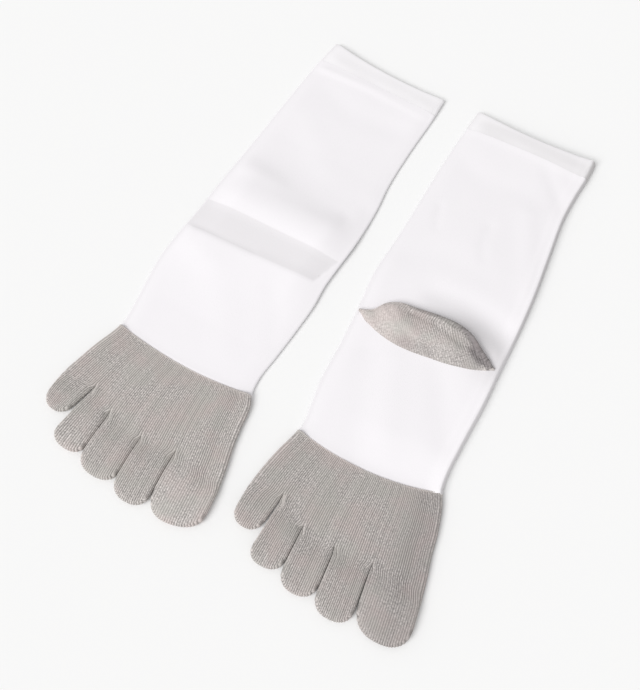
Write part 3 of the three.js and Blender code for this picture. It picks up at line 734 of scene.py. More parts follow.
def rib_tree():
    """Sinks the grooves between the ribs into the cloth, and lets each stitch stand out."""
    name = "Raised ribs"
    if name in bpy.data.node_groups:
        return bpy.data.node_groups[name]
    tree = new_tree(name, [
        ("Groove Depth", "NodeSocketFloat", 0.0003),
        ("Stitch Depth", "NodeSocketFloat", 0.00005),
        ("Material", "NodeSocketMaterial", None),
    ])
    start = tree.nodes.new("NodeGroupInput")
    wale, course, relief = (stored(tree, mark) for mark in ("wale", "course", "relief"))
    turn = math_node(tree, "MULTIPLY", wale, 2 * math.pi)
    groove = math_node(tree, "MULTIPLY_ADD", math_node(tree, "COSINE", turn), 0.5, 0.5)
    depth = math_node(tree, "MULTIPLY", groove, start.outputs["Groove Depth"])
    stitch = math_node(tree, "MULTIPLY", course, math.pi)
    stitch = math_node(tree, "ABSOLUTE", math_node(tree, "SINE", stitch))
    stitch = math_node(tree, "MULTIPLY", stitch, start.outputs["Stitch Depth"])
    total = math_node(tree, "ADD", depth, stitch)
    inward = math_node(tree, "MULTIPLY", math_node(tree, "MULTIPLY", total, relief), -1.0)
    normal = tree.nodes.new("GeometryNodeInputNormal").outputs[0]
    offset = vector_node(tree, "SCALE", (0, normal), ("Scale", inward))
    moved = add_node(
        tree, "GeometryNodeSetPosition",
        [("Geometry", start.outputs["Geometry"]), ("Offset", offset)],
    )
    finish_tree(tree, moved.outputs[0], start.outputs["Material"])
    return tree


def stitch_tree():
    """Lays one small rounded stitch after another along a closed seam."""
    name = "Linking stitches"
    if name in bpy.data.node_groups:
        return bpy.data.node_groups[name]
    tree = new_tree(name, [
        ("Spacing", "NodeSocketFloat", 0.001),
        ("Stitch Length", "NodeSocketFloat", 0.001),
        ("Yarn Radius", "NodeSocketFloat", 0.0003),
        ("Slant", "NodeSocketFloat", 0.5),
        ("Material", "NodeSocketMaterial", None),
    ])
    start = tree.nodes.new("NodeGroupInput")
    seam = add_node(tree, "GeometryNodeMeshToCurve", [("Mesh", start.outputs["Geometry"])])
    even = add_node(
        tree, "GeometryNodeResampleCurve",
        [("Curve", seam.outputs[0]), ("Length", start.outputs["Spacing"])], mode="LENGTH",
    )
    yarn = add_node(
        tree, "GeometryNodeMeshUVSphere",
        [("Segments", 6), ("Rings", 4), ("Radius", start.outputs["Yarn Radius"])],
    )
    long = math_node(tree, "DIVIDE", start.outputs["Stitch Length"], start.outputs["Yarn Radius"])
    long = math_node(tree, "MULTIPLY", long, 0.5)
    sizes = add_node(tree, "ShaderNodeCombineXYZ", [("X", 1.0), ("Y", 1.0), ("Z", long)])
    stitch = add_node(
        tree, "GeometryNodeTransform", [("Geometry", yarn.outputs[0]), ("Scale", sizes.outputs[0])]
    )
    tangent = tree.nodes.new("GeometryNodeInputTangent").outputs[0]
    across = vector_node(
        tree, "CROSS_PRODUCT", (0, stored(tree, "up", "FLOAT_VECTOR")), (1, tangent)
    )
    lean = vector_node(tree, "SCALE", (0, tangent), ("Scale", start.outputs["Slant"]))
    turned = add_node(
        tree, "FunctionNodeAlignRotationToVector",
        [("Vector", vector_node(tree, "ADD", (0, across), (1, lean)))], axis="Z",
    )
    placed = add_node(
        tree, "GeometryNodeInstanceOnPoints",
        [
            ("Points", even.outputs[0]), ("Instance", stitch.outputs[0]),
            ("Rotation", turned.outputs[0]),
        ],
    )
    finish_tree(tree, placed.outputs[0], start.outputs["Material"])
    return tree


def grown(piece, tree, values):
    """Runs a tree on a piece and keeps the result as its plain mesh."""
    modifier = piece.modifiers.new(tree.name, "NODES")
    modifier.node_group = tree
    for label, value in values.items():
        modifier[socket_key(tree, label)] = value
    bpy.context.view_layer.update()
    graph = bpy.context.evaluated_depsgraph_get()
    mesh = bpy.data.meshes.new_from_object(piece.evaluated_get(graph), depsgraph=graph)
    if not len(mesh.polygons):
        raise RuntimeError(f"{piece.name}: {tree.name} made no faces")
    piece.modifiers.clear()
    bare = piece.data
    piece.data = mesh
    bpy.data.meshes.remove(bare)
    mesh.name = piece.name
    mesh.polygons.foreach_set("use_smooth", np.ones(len(mesh.polygons), bool))
    return piece


# ---- Materials ----

GROOVE_PAINTED_SHADE = 0.85  # how far the colour is painted darker down between two ribs: painted shade in the grooves
UNEVEN_GROOVES = (0.6, 0.6)  # how much darker that painted shade is in one groove than another, and the least there is
PATCH_RANGE = (0.42, 0.62)  # where the patches of both casts start and are full
SECOND_RANGE = (0.45, 0.65)
ROUGHNESS = 0.92
SPECULAR = 0.15
SHEEN_ROUGHNESS = 0.5

# Each yarn's colour times these makes its dark and light fibres and two faint casts. Then come
# the bump's strength and height in metres, the sheen, how much flecks and patches stand out and
# how large they are, what is left of the colour where its tint and painted shade are full, and
# how much of it is left between the ribs, where shade is painted into the grooves.
SIZES = {"Fleck Width": 1.2, "Fleck Length": 0.75, "Patch Scale": 70.0}
YARNS = {
    "white": {
        "name": "white cotton knit", "fibres": (0.985, 1.01, 1.0, 0.992),
        "bump": (0.25, 0.00012), "sheen": 0.05, "flecks": 0.2, "patches": 0.5, "sizes": SIZES,
        "shade": (0.70, 0.697, 0.690), "groove": None,
    },
    "welt": {
        "name": "white double welt", "fibres": (0.98, 1.01, 1.0, 0.99),
        "bump": (0.35, 0.00015), "sheen": 0.05, "flecks": 0.2, "patches": 0.5, "sizes": SIZES,
        "shade": (0.68, 0.672, 0.660), "groove": None,
    },
    "grey": {
        "name": "grey ribbed knit",
        "fibres": (0.62, 1.4, (1.07, 0.985, 0.985), (0.96, 1.0, 0.97)),
        "bump": (0.6, 0.00025), "sheen": 0.12, "flecks": 0.14, "patches": 0.55, "sizes": SIZES,
        "shade": (0.425, 0.415, 0.435), "groove": 0.28,
    },
}


def read_mark(tree, name):
    """What a shader tree reads of one of the mesh's own attributes."""
    return add_node(tree, "ShaderNodeAttribute", attribute_name=name).outputs["Fac"]


def knit_group():
    """The surface of knitted cloth: the height of its stitches, its flecks and its soft patches."""
    name = "Knit surface"
    if name in bpy.data.node_groups:
        return bpy.data.node_groups[name]
    tree = bpy.data.node_groups.new(name, "ShaderNodeTree")
    for label, value in SIZES.items():
        made = tree.interface.new_socket(label, in_out="INPUT", socket_type="NodeSocketFloat")
        made.default_value = value
    for label in ("Height", "Groove", "Fleck", "Rib Tone", "Patch", "Second Patch"):
        tree.interface.new_socket(label, in_out="OUTPUT", socket_type="NodeSocketFloat")
    start, end = tree.nodes.new("NodeGroupInput"), tree.nodes.new("NodeGroupOutput")
    wale, course = read_mark(tree, "wale"), read_mark(tree, "course")
    # each stitch is a V: its two legs lean to the middle of the rib
    off = math_node(tree, "SUBTRACT", math_node(tree, "FRACT", wale), 0.5)
    off = math_node(tree, "ABSOLUTE", off)
    leaning = math_node(tree, "MULTIPLY_ADD", off, 1.1, course)
    loop = math_node(tree, "SINE", math_node(tree, "MULTIPLY", leaning, math.pi))
    loop = math_node(tree, "ABSOLUTE", loop)
    groove = math_node(tree, "POWER", math_node(tree, "MULTIPLY", off, 2.0), 2.0)
    round_rib = math_node(tree, "SUBTRACT", 1.0, groove)
    loop = math_node(tree, "MULTIPLY_ADD", loop, 0.5, 0.5)
    height = math_node(tree, "MULTIPLY", round_rib, loop)
    place = add_node(tree, "ShaderNodeCombineXYZ", [
        ("X", math_node(tree, "MULTIPLY", wale, start.outputs["Fleck Width"])),
        ("Y", math_node(tree, "MULTIPLY", course, start.outputs["Fleck Length"])),
    ])
    fleck = add_node(
        tree, "ShaderNodeTexNoise",
        [("Vector", place.outputs[0]), ("Scale", 1.0), ("Detail", 3.0), ("Roughness", 0.65)],
    )
    rib = add_node(
        tree, "ShaderNodeTexWhiteNoise", [("W", math_node(tree, "FLOOR", wale))],
        noise_dimensions="1D",
    )
    where = tree.nodes.new("ShaderNodeTexCoord").outputs["Object"]
    aside = add_node(
        tree, "ShaderNodeMapping", [("Vector", where), ("Location", (0.31, 0.17, 0.05))]
    )
    patch, second = (
        add_node(
            tree, "ShaderNodeTexNoise",
            [("Vector", vector), ("Scale", start.outputs["Patch Scale"]), ("Detail", 2.0)],
        )
        for vector in (where, aside.outputs[0])
    )
    for label, source in (
        ("Height", height), ("Groove", groove), ("Fleck", fleck.outputs["Fac"]),
        ("Rib Tone", rib.outputs["Value"]), ("Patch", patch.outputs["Fac"]),
        ("Second Patch", second.outputs["Fac"]),
    ):
        tree.links.new(source, end.inputs[label])
    return tree


def blend_colour(tree, factor, a, b, blend="MIX"):
    """A colour mixed from a to b by the factor."""
    node = add_node(tree, "ShaderNodeMix", data_type="RGBA", clamp_factor=True, blend_type=blend)
    for slot, source in ((0, factor), (6, a), (7, b)):
        feed(tree, node.inputs[slot], source)
    return node.outputs[2]


def spread(tree, value, low, high):
    """The value's middle range stretched to run from 0 to 1."""
    inputs = [("Value", value), ("From Min", low), ("From Max", high)]
    return add_node(tree, "ShaderNodeMapRange", inputs).outputs[0]


def tinted(colour, factors):
    """A colour times one factor, or times one for each channel, as a shader's socket takes it."""
    factors = np.broadcast_to(factors, 3).tolist()
    return (*(min(1.0, channel * factor) for channel, factor in zip(colour, factors)), 1.0)


def knit_material(yarn, settings):
    """Cloth of one yarn, from its row of the table and its colour in the settings."""
    look = YARNS[yarn]
    if look["name"] in bpy.data.materials:
        return bpy.data.materials[look["name"]]
    material = bpy.data.materials.new(look["name"])
    material.use_nodes = True
    tree = material.node_tree
    shader = tree.nodes["Principled BSDF"]
    knit = add_node(tree, "ShaderNodeGroup", look["sizes"].items(), node_tree=knit_group())
    own = tuple(getattr(settings, yarn))
    deep, light, warm, cool = (tinted(own, factors) for factors in look["fibres"])
    fleck = spread(tree, knit.outputs["Fleck"], 0.5 - look["flecks"], 0.5 + look["flecks"])
    colour = blend_colour(tree, fleck, deep, light)
    for label, reach, cast in (("Patch", PATCH_RANGE, warm), ("Second Patch", SECOND_RANGE, cool)):
        patches = spread(tree, knit.outputs[label], *reach)
        patches = math_node(tree, "MULTIPLY", patches, look["patches"])
        colour = blend_colour(tree, patches, colour, cast)
    # a tint, such as a pocket showing through, and painted shade: the colour is multiplied towards
    # the shade colour
    veil = read_mark(tree, "veil")
    colour = blend_colour(tree, veil, colour, (*look["shade"], 1.0), "MULTIPLY")
    # painted shade down in the grooves between the ribs
    if look["groove"]:
        depth = math_node(tree, "MULTIPLY", knit.outputs["Groove"], read_mark(tree, "relief"))
        uneven = math_node(tree, "MULTIPLY_ADD", knit.outputs["Rib Tone"], *UNEVEN_GROOVES)
        depth = math_node(tree, "MULTIPLY", depth, uneven)
        depth = math_node(tree, "MULTIPLY", depth, GROOVE_PAINTED_SHADE)
        colour = blend_colour(tree, depth, colour, tinted(own, look["groove"]))
    tree.links.new(colour, shader.inputs["Base Color"])
    strength, height = look["bump"]
    bump = add_node(
        tree, "ShaderNodeBump",
        [("Height", knit.outputs["Height"]), ("Strength", strength), ("Distance", height)],
    )
    tree.links.new(bump.outputs[0], shader.inputs["Normal"])
    shader.inputs["Roughness"].default_value = ROUGHNESS
    shader.inputs["Specular IOR Level"].default_value = SPECULAR
    shader.inputs["Sheen Weight"].default_value = look["sheen"]
    shader.inputs["Sheen Roughness"].default_value = SHEEN_ROUGHNESS
    return material


# ---- The pieces ----

def declared(piece, nodes):
    """Attaches a finished piece to the body and hides the solids that it stands for."""
    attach(piece, BODY)
    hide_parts(*nodes)


def tube_shell(sock, knit, lines, few_lines, relief, sides, fold, ends, tint_and_shade_at):
    """A closed shell: the outer and inner face of a flat tube, with a rounded rim at both ends.
    ends holds the row of each rim, and how far it bulges out along the tube."""
    work = Patchwork()
    outer = FlatTube(sock, knit, lines, relief, LEG_ROLL_STEPS, 0.0, sides, fold)
    marks = smooth_marks(tint_and_shade_at, fold[3])
    wall = knit["wall"] * min(1.0, *sides)
    inner = FlatTube(sock, knit, few_lines, relief, LEG_ROLL_STEPS, wall, sides, fold)
    for part, points in outer.parts().items():
        work.add(points, **marks(part, points))
    for points in inner.parts().values():
        work.add(points)
    for row, bulge in ends:
        for part, points in rim(outer, inner, row, bulge, 4).items():
            work.add(points, **marks(part, points))
    return work


def smooth_marks(tint_and_shade_at, right_fold_shade):
    """Marks for cloth whose stitches are too fine to see: wales across, courses along. The second
    argument is how full the painted shade along the right fold is."""
    width, height = FINE_STITCH

    def marks(part, points):
        x, y, z = points[..., 0], points[..., 1], points[..., 2]
        aside = UNDERSIDE_AT if part == "low" else 0
        round_fold = z if part in ("left", "right") else 0
        veil = WHITE_TINT_AND_SHADE * tint_and_shade_at(x, y) if part != "low" else np.zeros(x.shape)
        # painted shade along the right fold, which faces away from the light
        if part == "right":
            fold_shade = right_fold_shade * mix(FOOT_FOLD_SHADE, 1.0, ramp(y, 60, 90))
            veil = np.maximum(veil, fold_shade * smooth(np.arange(x.shape[1]) / 4)[None, :])
        wale = (x + aside + round_fold) / width
        return {"wale": wale, "course": y / height, "relief": 0.0, "veil": veil}

    return marks


def make_leg(sock, settings):
    cut = sock.cut
    start, end = shifted(cut["border"], SEAM / 2), shifted(cut["cuff_seam"], -CUFF_SEAM / 2)
    seams = [start]
    if cut["sag"]:
        # more rows at both edges of the mouth that shows through
        for name, steps in (("sole_seam", (-2, 0, 1, 2, 4)), ("leg_seam", (-4, -2, -1, 0, 2))):
            seams += [shifted(cut[name], step) for step in steps]
    seams += [shifted(end, -END_ROW), end]
    lines = even_lines(seams, LEG_SPACING, LEG_COLUMNS)
    few = even_lines([start, end], LEG_INSIDE, LEG_COLUMNS)
    work = tube_shell(
        sock, LEG, lines, few, sock.leg_relief, cut["sides"], cut["fold"],
        [(0, -0.15), (-1, 0.05)], sock.leg_shade,
    )
    piece = work.sewn(f"{sock.name}_leg_knit", sock)
    piece.data.materials.append(knit_material("white", settings))
    declared(piece, [f"{sock.name}_leg"])


def make_cuff(sock, settings):
    cut = sock.cut
    start, end = shifted(cut["cuff_seam"], CUFF_SEAM / 2), shifted(cut["cuff_top"], -WELT_RIM)
    near = [shifted(start, step) for step in (END_ROW, 1.2, 2.6)]
    lines = even_lines([start, *near, end], CUFF_SPACING, LEG_COLUMNS)
    few = even_lines([start, end], CUFF_INSIDE, LEG_COLUMNS)
    work = tube_shell(
        sock, CUFF, lines, few, sock.cuff_relief, cut["cuff_sides"], cut["cuff_fold"],
        [(0, -0.05), (-1, WELT_RIM)], sock.welt_shade,
    )
    piece = work.sewn(f"{sock.name}_cuff_welt", sock)
    piece.data.materials.append(knit_material("welt", settings))
    declared(piece, [f"{sock.name}_cuff"])


# ---- The forefoot and toes ----

ROUND = np.arange(ROLL_STEPS + 1)  # the steps round a rolled edge, and the ribs' relief there
ROUND_RELIEF = mix(1.0, UNDER_RELIEF, ramp(ROUND / ROLL_STEPS, 0.5, 0.4))


def grow_ribs(piece, settings, groove_depth):
    """Raises the ribs and stitches of a grey piece."""
    grown(piece, rib_tree(), {
        "Groove Depth": groove_depth, "Stitch Depth": settings.stitch_depth,
        "Material": knit_material("grey", settings),
    })


def forefoot_tube(sock, rows, inset):
    """The forefoot's tube from the colour change to the toe roots."""
    columns = RIBS_ACROSS * RIB_POINTS
    across = np.linspace(-1, 1, columns + 1)
    near = bow(sock.cut["border"], across) - SEAM / 2
    root = sock.root_line(across) + inset
    lines = mix(near[None, :], root[None, :], np.linspace(0, 1, rows + 1)[:, None])
    return FlatTube(sock, FOREFOOT, lines, sock.forefoot_relief, ROLL_STEPS, inset)


def crack_columns(sock):
    """The columns at which one toe parts from the next, from the little toe's side on."""
    columns = RIBS_ACROSS * RIB_POINTS
    across = np.linspace(-1, 1, columns + 1)
    root = sock.root_line(across)
    x = FlatTube(sock, FOREFOOT, root[None, :], sock.forefoot_relief, 1).top[0, :, 0]
    cracks = [0]
    for root_x, _ in sock.cut["roots"][1:-1]:
        nearest = int(np.argmin(np.abs(x - root_x)))
        cracks.append(RIB_POINTS * round(nearest / RIB_POINTS))
    return [*cracks, columns]


def web(top, low):
    """The upright line between two toes, from the top panel to the underside."""
    turn = np.array([math.pi / 2])
    middle = np.array([(top[2] + low[2]) / 2])
    return rolled(top[None], low[None], top[None, :2], middle, turn, ROLL_STEPS)[0]


class ToeEdge:
    """One side of a toe: its outline, and how far in from it the top panel starts."""

    def __init__(self, sign, start, table, length, gap, roll, reach):
        self.sign, self.start, self.table, self.length = sign, start, table, length
        self.gap, self.roll, self.reach = gap, roll, reach

    def outline(self, s):
        base = mix(self.table[0], self.table[1], s / self.length)
        return base + (self.start - self.table[0]) * (1 - smooth(s / 5))

    def inset(self, s):
        return mix(self.gap, TUCK, smooth(s / self.reach))

    def radius(self, s):
        return self.inset(s) + (self.roll - TUCK) * smooth(s / 12)

    def panel(self, s):
        return self.outline(s) + self.sign * self.inset(s)


class Toe:
    """One toe seen from above, at s along it from its root and t across it from -1 to 1."""

    def __init__(self, row, root, left_root, right_root, outermost, inset):
        root_left, root_right, tip_left, tip_right, end, roundness, self.back, self.slant = row
        self.root = root
        self.t = np.linspace(-1, 1, len(root))
        self.middle = float(np.interp(0, self.t, root[:, 1])) - inset
        self.length = self.middle - end - inset
        self.round_out = roundness - inset
        self.straight = self.length - self.round_out
        left_x, right_x = left_root[ROLL_STEPS // 2, 0], right_root[ROLL_STEPS // 2, 0]
        reach = [EDGE_REACH[0] if outside else EDGE_REACH[1] for outside in outermost]
        self.left = ToeEdge(
            1, left_x, (root_left + inset, tip_left + inset), self.length,
            root[0, 0] - left_x, ROLL_LEFT, reach[0],
        )
        self.right = ToeEdge(
            -1, right_x, (root_right - inset, tip_right - inset), self.length,
            right_x - root[-1, 0], ROLL_LEFT if outermost[1] else ROLL_RIGHT, reach[1],
        )

    def drawn(self, s, t):
        """How far its end is drawn back."""
        return (self.back + self.slant * t) * (s / self.length) ** 2

    def place(self, s, t):
        """Where its top panel is."""
        x = mix(self.left.panel(s), self.right.panel(s), (t + 1) / 2)
        away = 1 - np.clip(s / self.straight, 0, 1)
        evenly = mix(self.left.panel(0), self.right.panel(0), (t + 1) / 2)
        drift_x = np.interp(t, self.t, self.root[:, 0]) - evenly
        drift_y = np.interp(t, self.t, self.root[:, 1]) - self.middle
        y = self.middle - s + drift_y * away**2 + self.drawn(s, t)
        return x + drift_x * (1 - smooth(s / 6)), y

    def outer(self, s, t):
        """Where its outline is."""
        x = mix(self.left.outline(s), self.right.outline(s), (t + 1) / 2)
        return x, self.middle - s + self.drawn(s, t)

    def end_roll(self, t):
        """The radius of the rolled edge round its end."""
        side = np.where(t < 0, self.left.roll, self.right.roll)
        return mix(ROLL_END, side, np.abs(t) ** (2 * TOE_END_POWER))

    def fullness(self, x, y):
        """0 on its outline and 1 where its rolled edge has reached the panel."""
        side = np.linspace(0, self.straight, TOE_OUTLINE_POINTS[0])
        angle = np.linspace(0, math.pi, TOE_OUTLINE_POINTS[1])
        end_t = -np.sign(np.cos(angle)) * np.abs(np.cos(angle)) ** (2 / TOE_END_POWER)
        end_s = self.straight + self.round_out * np.sin(angle) ** (2 / TOE_END_POWER)
        end_x, end_y = self.outer(end_s, end_t)
        line_x = [self.left.outline(side), end_x, self.right.outline(side)[::-1]]
        line_y = [self.place(side, -1.0)[1], end_y, self.place(side, 1.0)[1][::-1]]
        radii = [self.left.radius(side), self.end_roll(end_t), self.right.radius(side)[::-1]]
        line_x, line_y, radii = (np.concatenate(parts) for parts in (line_x, line_y, radii))
        away = np.hypot(x[..., None] - line_x, y[..., None] - line_y)
        nearest = np.argmin(away, axis=-1)
        distance = np.take_along_axis(away, nearest[..., None], -1)[..., 0]
        radius = np.maximum(radii[nearest], SMALLEST)
        full = np.sqrt(1 - (1 - np.clip(distance / radius, 0, 1)) ** 2)
        full[0] = 1.0
        return full


def round_edge(grid):
    """A toe's boundary: down its left side, round the end and back up its right side."""
    return np.concatenate([grid[:, 0], grid[-1, 1:-1], grid[::-1, -1]])


def toe_patches(work, sock, number, span, tube, rows, inset, ribbed):
    """One toe as a pouch: a top and a bottom panel with straight ribs, and a rolled edge."""
    first, last = span
    top_root, low_root = tube.top[-1, first : last + 1], tube.low[-1, first : last + 1]
    outermost = (first == 0, last == tube.top.shape[1] - 1)
    left_root = tube.left[-1] if outermost[0] else web(top_root[0], low_root[0])
    right_root = tube.right[-1] if outermost[1] else web(top_root[-1], low_root[-1])
    toe = Toe(sock.cut["toes"][number], top_root, left_root, right_root, outermost, inset)
    t = toe.t
    cap = (1 - np.abs(t) ** TOE_END_POWER) ** (1 / TOE_END_POWER)
    reach = toe.straight + (toe.round_out - 0.8 * TUCK) * cap
    s = np.linspace(0, 1, rows + 1)[:, None] * reach[None, :]
    x, y = toe.place(s, t[None, :])

    # the heights of both panels, which puff up from the forefoot's and meet round the edge
    full = toe.fullness(x, y)
    grown_part = smooth(s / TOE_GROWN)
    droop, over = TOE_DROOP
    puff = TOE_PUFF - droop * smooth((s - toe.length + over) / over)
    puff = puff - TOE_TILT * t[None, :] - inset
    puff = puff + TOE_WAVE * slow_waves(x, y * 1.7, sock.phase + number)
    high = mix(top_root[None, :, 2], puff, grown_part)
    waist = mix(FOREFOOT["flat"] / 2, TOE_PUFF * TOE_WAIST, grown_part)
    low_z = np.maximum(inset, waist - (waist - inset) * TOE_UNDER * full)
    top = np.stack([x, y, waist + (high - waist) * full], -1)
    low = np.stack([x, y, low_z], -1)
    top[0], low[0] = top_root, low_root

    # the rolled edge, which turns as far as the panel's inset is a part of the roll's radius
    left_line = np.stack([toe.left.outline(s[:, 0]), y[:, 0]], -1)
    right_line = np.stack([toe.right.outline(s[:, -1]), y[:, -1]], -1)
    end_line = np.stack(toe.outer(toe.straight + toe.round_out * cap, t), -1)
    outer = np.concatenate([left_line, end_line[1:-1], right_line[::-1]])
    sides = [
        edge.inset(along) / np.maximum(edge.radius(along), SMALLEST)
        for edge, along in ((toe.left, s[:, 0]), (toe.right, s[:, -1]))
    ]
    sides[0][0] = sides[1][0] = 1.0
    ends = TUCK / toe.end_roll(t)
    ratio = np.concatenate([sides[0], ends[1:-1], sides[1][::-1]])
    turn = np.arccos(1 - np.clip(ratio, 0.02, 1))
    strip = rolled(round_edge(top), round_edge(low), outer, round_edge(waist), turn, ROLL_STEPS)
    strip[0], strip[-1] = left_root, right_root

    if not ribbed:
        for points in (top, low, strip):
            work.add(points)
        return
    column = np.arange(first, last + 1) / RIB_POINTS
    relief = mix(1.0, BIG_TOE_RELIEF, smooth(s / 12)) if number == 0 else 1.0
    for panel, raised in ((top, relief), (low, UNDER_RELIEF)):
        work.add(panel, wale=column, course=-y / STITCH, relief=raised, veil=sock.tone(x))
    end_rows = slice(rows + 1, -(rows + 1))
    wale = np.empty(strip.shape[:2])
    wale[:] = ROUND / RIB_POINTS
    wale[end_rows] = column[1:-1, None]
    course = np.empty(strip.shape[:2])
    course[:] = round_edge(-y / STITCH)[:, None]
    course[end_rows] += ROUND / 3.0
    # the rolled edge gets the same painted shade along x as the panels
    tone = sock.tone(strip[..., 0])
    work.add(strip, wale=wale, course=course, relief=ROUND_RELIEF, veil=tone)


def make_forefoot(sock, settings):
    outer = forefoot_tube(sock, FOREFOOT_ROWS, 0.0)
    inner = forefoot_tube(sock, 4, FOREFOOT["wall"])
    work = Patchwork()
    columns = np.arange(outer.top.shape[1]) / RIB_POINTS
    # the wale and the relief of each part of the tube
    marks = {
        "top": (columns, 1.0), "low": (columns, UNDER_RELIEF),
        "left": (ROUND / RIB_POINTS, ROUND_RELIEF), "right": (ROUND / RIB_POINTS, ROUND_RELIEF),
    }

    def add_ribbed(patches, raised):
        for part, points in patches.items():
            wale, relief = marks[part]
            work.add(
                points, wale=wale, course=-points[..., 1] / STITCH,
                relief=relief * raised[:, None], veil=sock.tone(points[..., 0]),
            )

    from_border = smooth(np.arange(outer.rows))
    add_ribbed(outer.parts(), mix(BORDER_RELIEF, 1.0, from_border))
    for points in inner.parts().values():
        work.add(points)
    add_ribbed(rim(outer, inner, 0, 0.4, 3), np.array([BORDER_RELIEF, BORDER_RELIEF / 2, 0, 0]))
    cracks = crack_columns(sock)
    for place, span in enumerate(zip(cracks, cracks[1:])):
        number = 4 - place
        toe_patches(work, sock, number, span, outer, TOE_ROWS, 0.0, True)
        toe_patches(work, sock, number, span, inner, 5, FOREFOOT["wall"], False)
    piece = work.sewn(f"{sock.name}_forefoot_and_toes", sock)
    grow_ribs(piece, settings, settings.groove_depth)
    nodes = [f"{sock.name}_forefoot"] + [f"{sock.name}_toe_{i}" for i in range(1, 6)]
    declared(piece, nodes)


# ---- The heel pocket ----

def pocket_profile(sock, x):
    """The line along the middle of the pocket's wall for each x: points of y and z."""
    cut = sock.cut
    found = sock.heel(x)
    sole, leg, fold, roll, crown = (found[..., i] for i in range(5))
    depth = fold - sole
    up = not cut["instep_up"]
    side = 1 if up else -1
    panel = LEG["flat"] - POCKET_START if up else sock.lift(sole) + POCKET_START
    start = np.zeros_like(x) + panel
    points = [(sole + 1.5 * SEAM, start), (sole + 5 * SEAM, start + side * 0.05)]
    for along, share in POCKET_RISE if up else POCKET_DROP:
        z = LEG["flat"] + share * crown if up else mix(start, HEEL_LINE, share)
        points.append((sole + along * depth, z))
    back = LEG["flat"] + SEAM + HEEL_LINE + 0 * x if up else HEEL_LINE + 2 * roll
    for degrees in POCKET_FOLD_TURNS:
        angle = math.radians(degrees)
        y = fold - HEEL_LINE - roll + roll * math.cos(angle)
        points.append((y, back + side * roll * (1 + math.sin(angle))))
    points.append((np.minimum(leg - 4 * SEAM, fold - 2.4 * roll - 0.2), back))
    return np.array([[a + 0 * x, b + 0 * x] for a, b in points]).transpose(2, 0, 1)


def even_stations(points, count):
    """A smooth line through points, cut into even steps."""
    key = np.arange(len(points), dtype=float)
    curve = through(np.column_stack([key, points]))
    dense = curve(np.linspace(0, len(points) - 1, 12 * len(points)))
    length = np.concatenate([[0], np.cumsum(np.hypot(*np.diff(dense, axis=0).T))])
    at = np.linspace(0, length[-1], count)
    return np.column_stack([np.interp(at, length, dense[:, i]) for i in range(2)])


def pocket_bulge(x, y, part, tip):
    """The visible pocket's creases, which fade towards its seams and its tips."""
    bulge = np.zeros(x.shape)
    for points, width, height in POCKET_CREASES:
        bulge += crease(x, y, points, width, height, height)
    shown = ramp(part, 0.03, 0.1) * smooth((0.66 - part) / 0.08)
    return bulge * shown * smooth(tip / 4)[:, None]


def along_x(x, change):
    """A change by an amount, from a start and over a length."""
    amount, start, length = change
    return amount * ramp(x, start, length)


def pocket_marks(sock, x, y, part):
    """How raised the visible pocket's ribs are, and how dark its colour is made, mostly painted
    shade.
    """
    # the strip beyond the fold faces away from the light, and gets painted shade
    from_fold = sock.heel(x)[..., 2] - y
    strip = mix(*BEYOND_STRIP, ramp(x, 2, 24))
    beyond = smooth((strip + 0.8 - from_fold) / 1.6) * ramp(x, -26, 14)

    # stretched smooth beside the tail, and ribbed from the diagonal fold on
    relief = mix(*TAIL_RELIEF, ramp(x, -31, 12))
    relief = relief + DIAGONAL_RELIEF * ramp(part, 0.28, 0.12) * ramp(x, -30, 10)
    points, width, less = PULLED_FLAT
    relief = relief * (1 - less * bell(line_distance(x, y, points)[0], width))
    relief = relief * (1 - BEYOND_RELIEF * beyond)

    # a base, darker at the tail, painted shade towards the right and painted light at the lit end
    tone = POCKET_TONE + along_x(x, TAIL_TONE) + along_x(x, RIGHT_PAINTED_SHADE)
    tone = tone + along_x(x, END_PAINTED_LIGHT) * (1 - beyond) + BEYOND_PAINTED_SHADE * beyond
    # painted shade along creases that face away from the light
    for points, width, darker in PAINTED_SHADE_LINES:
        tone = tone + darker * bell(line_distance(x, y, points)[0], width)
    tone = tone + along_x(x, TIP_TONE)
    tone = tone + along_x(x, FOLD_TONE) * bell(from_fold - 4, 2.5)
    return relief, tone


